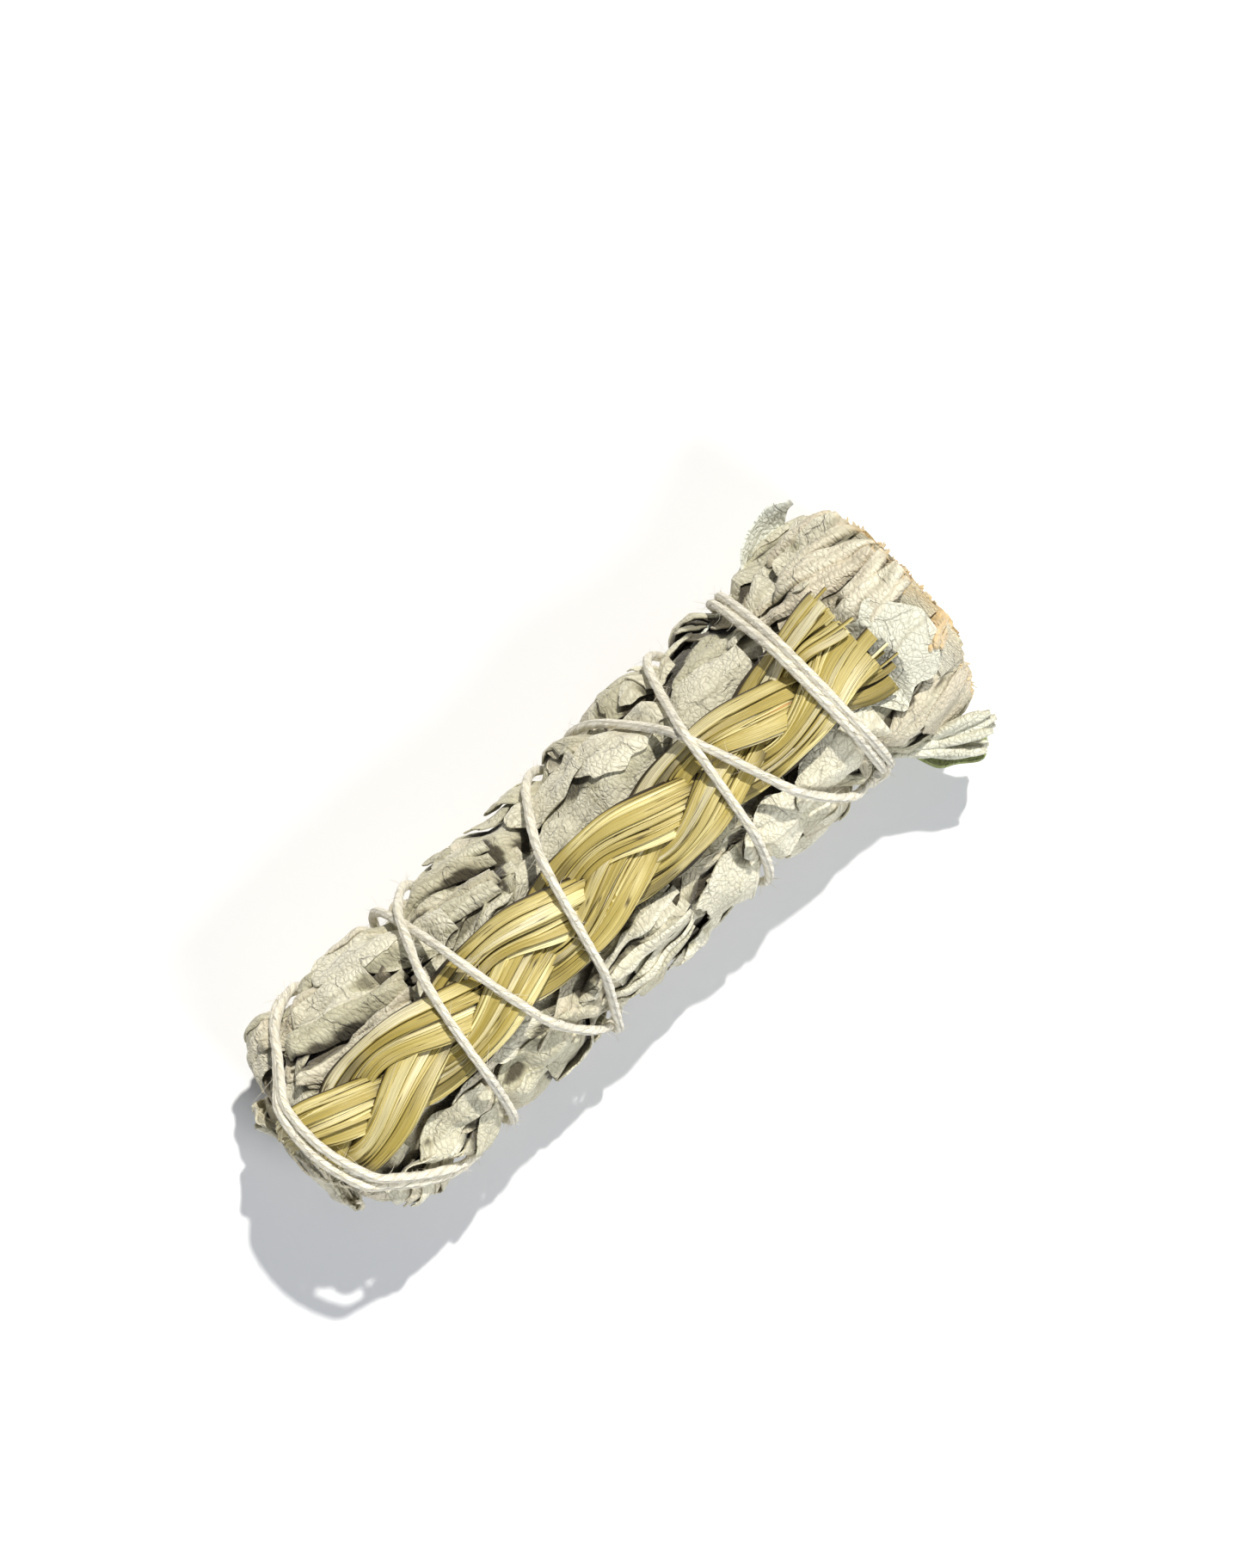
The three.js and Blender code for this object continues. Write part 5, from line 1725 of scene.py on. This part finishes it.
def blade(strand, rng, aside, half_width, layer, start, end):
    """A grid for one blade that lies so far aside in the strand, in that layer of it."""
    wide = half_width > 0.5
    along = np.linspace(start, end, int((end - start) / BLADE_STEP))[:, None]
    across = (WIDE_ACROSS if wide else NARROW_ACROSS)[None]
    pinch = 1 - PINCH * np.abs(np.sin(strand_turn(along, strand))) ** 5
    drift = (0.3 if wide else 0.6) * waves(rng, 40.0, count=3)(along, 0.0)
    stray = rng.uniform(-0.8, 0.8) * smoothstep(along, 35, 42)
    fan = 1 + SPREADS["fan"] * smoothstep(along, 34, 42)
    fan = fan + SPREADS["narrow_end"] * smoothstep(-along, 47, 56)
    narrow = 1 - 0.12 * (1 + waves(rng, 25.0, count=3)(along, 0.0))
    local = ((aside + drift) * fan + across * half_width * narrow) * pinch + stray
    inside = np.clip(local / (STRAND["half_width"] + 0.45), -1, 1)
    lens = STRAND["half_thickness"] * np.sqrt(1 - np.abs(inside) ** 2.6)
    roll = SHINGLE + rng.uniform(-0.12, 0.12) + 0.08 * waves(rng, 24.0, count=3)(along, 0.0)
    rise = roll * across * half_width + rng.uniform(-0.12, 0.16) * (1 - np.abs(across))
    rise = rise + 0.07 * waves(rng, 18.0, count=3)(along, 0.0)
    splay = rng.uniform(0.0, 0.6) * smoothstep(along, 37, 43)
    y, height, tilt = strand_at(along, strand)
    top = np.sign(layer) * lens + LAYER_RISE * layer + rise + splay - 0.2
    grid = braid_point(along, y + local, height + tilt * local + top)
    start_place = 150 * rng.random(), 40 * rng.random()
    place = together(along + start_place[0], across * half_width + start_place[1])
    # Painted shade where the strand passes under the others and towards its sides.
    under = smoothstep(np.sin(2 * strand_turn(along, strand)), -0.2, 0.7)
    at_side = smoothstep(abs(inside), 0.7, 1)
    return grid, place, along, across, 0.6 * under + 0.4 * at_side


def grass_tones(rng, along, across, sunk_shade, orange):
    """Olive to straw by blade, painted shade at one edge, under crossings and at the sides, cream on some."""
    patch = smoothstep(waves(rng, 30.0, count=3)(along, 0.0), -0.3, 0.5)
    cream = patch * (rng.uniform(0.6, 1.0) if rng.random() < 0.45 else 0.0) * (np.abs(across) < 0.95)
    burnt = orange * smoothstep(along, 24, 27) * (1 - smoothstep(along, 31, 34))
    # The lower edge of each blade and the low parts of the strand get painted shade.
    straw = rng.uniform(0.0, 1.0) - 1.1 * (across > 0.7) - 0.9 * (across > 0.95) - sunk_shade
    return together(straw, cream, burnt)


print("blades in a strand:", WIDE_BLADES + NARROW_BLADES + LOWER_BLADES)


# %% Bundle the blades into strands
def braid_strand(strand):
    """Wide blades side by side like shingles, narrow ones on top of them, and a few below."""
    rng = np.random.default_rng(150 + strand)
    pile = Pile()
    plan = []
    for number in rng.permutation(WIDE_BLADES):
        aside = -WIDE_SPREAD + 2 * WIDE_SPREAD * number / (WIDE_BLADES - 1) + rng.uniform(-0.15, 0.15)
        broad = number in BROAD_BLADES
        plan.append((aside, rng.uniform(0.5, 1.1) + 0.7 * broad, rng.uniform(0.2, 2.0) + 0.5 * broad))
    for _ in range(NARROW_BLADES):
        plan.append((rng.uniform(-3.0, 3.0), rng.uniform(0.16, 0.45), rng.uniform(1.2, 2.2)))
    for number in range(LOWER_BLADES):
        plan.append((-2.0 + 2 * number, 1.3, -0.8))
    for number, (aside, half_width, layer) in enumerate(plan):
        start = STRAND_STARTS[strand] + rng.uniform(-0.8, 1.6)
        end = BRAID["to"] + (rng.uniform(-0.3, 0.3) if half_width > 0.5 else rng.uniform(-1.6, 0.4))
        end = end + rng.uniform(1.5, 3.2) * (number in LONG_BLADES[strand])
        grid, place, along, across, sunk_shade = blade(strand, rng, aside, half_width, layer, start, end)
        orange = 1.0 * (strand == 2 and number in ORANGE_BLADES)
        tones = grass_tones(rng, along, across, sunk_shade, orange)
        # The underside of each blade gets painted shade.
        pile.add_sheet(grid, BLADE_THICKNESS, place, tones, shades=(0.8, 0.0))
    add_filling(strand, pile)
    return pile


def add_filling(strand, pile):
    """The blades inside a strand, which only show in gaps, as one slim tube coloured as painted shade."""
    along = np.arange(STRAND_STARTS[strand] + 2, BRAID["to"] - 3, 1.5)[:, None]
    turn = round_turn(12)[None]
    y, height, tilt = strand_at(along, strand)
    aside = 0.78 * STRAND["half_width"] * np.cos(turn)
    rise = 0.5 * STRAND["half_thickness"] * np.sin(turn)
    rings = braid_point(along, y + aside, height + tilt * aside + rise)
    place = together(along, turn * 2.0)
    pile.add_tube(rings[:, ::-1], place, (-1.0, 0.0, 0.0))


for strand in range(STRANDS):
    braid_strand(strand).piece(
        f"grass_strand_{strand + 1}", sweetgrass_material, "sweetgrass", f"sweetgrass_strand_{strand + 1}")

# %% [markdown]
# ## The cotton string
# The string is three plies twisted together, about 1.3 mm across, with loose fibres. A round tube would
# look like wire, so the section has three lobes that turn as it runs. The fibres are real slivers of mesh,
# because hair doesn't survive an export.

# %% The string
STRING_STEP = 0.38
STRING_SIDES = 14
TWIST_PITCH = 7.4
PLIES = 3
GROUND = 0.02  # the string stays this far above what the stick lies on


def evenly(points, step):
    """The same path with points that far apart."""
    lengths = np.concatenate([[0], np.cumsum(np.linalg.norm(np.diff(points, axis=0), axis=1))])
    places = np.arange(0, lengths[-1], step)
    return np.column_stack([np.interp(places, lengths, points[:, axis]) for axis in range(3)])


def smoothed(points, passes):
    """The path with its corners eased, its ends kept."""
    for _ in range(passes):
        points[1:-1] = (points[:-2] + 2 * points[1:-1] + points[2:]) / 4
    return points


def twisted_rings(path, radius, rng):
    """Rings round a path with a lobe for each ply, and the place of each point in mm."""
    _, side, up = frames_along(path)
    run = np.arange(len(path))[:, None] * STRING_STEP
    turn = round_turn(STRING_SIDES)[None]
    twist = 2 * math.pi * run / TWIST_PITCH + 0.5 * waves(rng, 30.0)(run, 0.0)
    lobe = np.abs(np.sin(PLIES / 2 * (turn - twist)))
    reach = radius * (1 - 0.09 * (1 - lobe) ** 1.2) * (1 + 0.05 * waves(rng, 7.0)(run, 0.0))
    section = np.cos(turn)[..., None] * up[:, None] + np.sin(turn)[..., None] * side[:, None]
    rings = path[:, None] + reach[..., None] * section
    rings[..., 2] = np.maximum(rings[..., 2], GROUND)
    # Tone X marks the groove between plies, where painted shade falls.
    return rings, together(run, (turn - twist) * radius), together((1 - lobe) ** 3, 0.0, 0.0)


# %% The knot
KNOT = {"angle": 190, "at": 32.4, "rise": 1.75, "size": 0.5, "string_radius": 0.5}


def knot_path():
    """A small overhand knot, with two short tails."""
    turn = np.linspace(0.35, 2 * math.pi - 0.35, 90)[:, None]
    out = core_normal(KNOT["at"], KNOT["angle"])
    along = np.array([1.0, 0, 0])
    aside = np.cross(out, along)
    loop = 1.15 * (np.sin(turn) + 2 * np.sin(2 * turn)) * along
    loop = loop + (np.cos(turn) - 2 * np.cos(2 * turn)) * aside
    loop = loop - 0.9 * np.sin(3 * turn) * out
    path = on_core(KNOT["at"], KNOT["angle"], KNOT["rise"]) + KNOT["size"] * loop
    first_tail = path[0] + out * 0.2 + aside * 1.6 - along * 2.2
    last_tail = path[-1] + out * 0.2 + aside * 1.1 + along * 1.9
    return np.vstack([first_tail, path, last_tail])


whole_string = smoothed(evenly(points_of(string_run), STRING_STEP), 8)
knot = smoothed(evenly(knot_path(), STRING_STEP), 2)
cotton = Pile()
cotton.add_tube(*twisted_rings(whole_string, STRING_RADIUS, np.random.default_rng(170)))
cotton.add_tube(*twisted_rings(knot, KNOT["string_radius"], np.random.default_rng(171)))
cotton.piece("cotton_twine", cotton_material, "cotton", "cotton_string")
print("string length:", round(len(whole_string) * STRING_STEP), "mm")

# %% Loose fibres
FIBRES = 1700
FIBRE_RADIUS = 0.03
FIBRE_HEIGHTS = (0.05, 33.7)  # as low and as high as fibres may reach


def fibres(path):
    """Three-sided slivers that leave the string either way along it."""
    rng = np.random.default_rng(180)
    ahead, side, up = frames_along(path)
    pile = Pile()
    share = np.linspace(0, 1, 5)[:, None]
    ring = round_turn(3)[:, None]
    for place in rng.integers(4, len(path) - 4, FIBRES):
        turn = rng.uniform(0, 2 * math.pi)
        outward = math.cos(turn) * up[place] + math.sin(turn) * side[place]
        start = path[place] + outward * STRING_RADIUS * 0.9
        lean = ahead[place] * rng.choice([-1, 1]) * rng.uniform(0.4, 1.0) + outward * rng.uniform(0.15, 0.7)
        curl = unit(rng.normal(size=3)) * rng.uniform(0.1, 0.6)
        length = rng.uniform(0.6, 1.8) + 1.6 * (rng.random() < 0.2)
        line = start + length * (share * lean + share**2 * curl)
        line[:, 2] = np.clip(line[:, 2], *FIBRE_HEIGHTS)
        across = unit(np.cross(lean, [0.3, 0.5, 0.8]))
        second = unit(np.cross(lean, across))
        thin = FIBRE_RADIUS * (1 - 0.6 * share)[:, :, None]
        rings = line[:, None] + thin * (np.cos(ring)[None] * across + np.sin(ring)[None] * second)
        pile.add_tube(rings, (0.0, 0.0), (0.0, 0.0, 0.0))
    return pile


fibres(whole_string).piece("cotton_fibres", cotton_material, "cotton")

# %% [markdown]
# ## Finish
# The difference between the two boxes is printed at each corner, so that the finished model can be
# compared with the bare solids.

# %% Compare the boxes
low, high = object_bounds()
for name, corner_cad, corner in (("low", cad_low, low), ("high", cad_high, high)):
    print(name, "corner differs by mm:", [round(1000 * (b - a), 2) for a, b in zip(corner_cad, corner)])
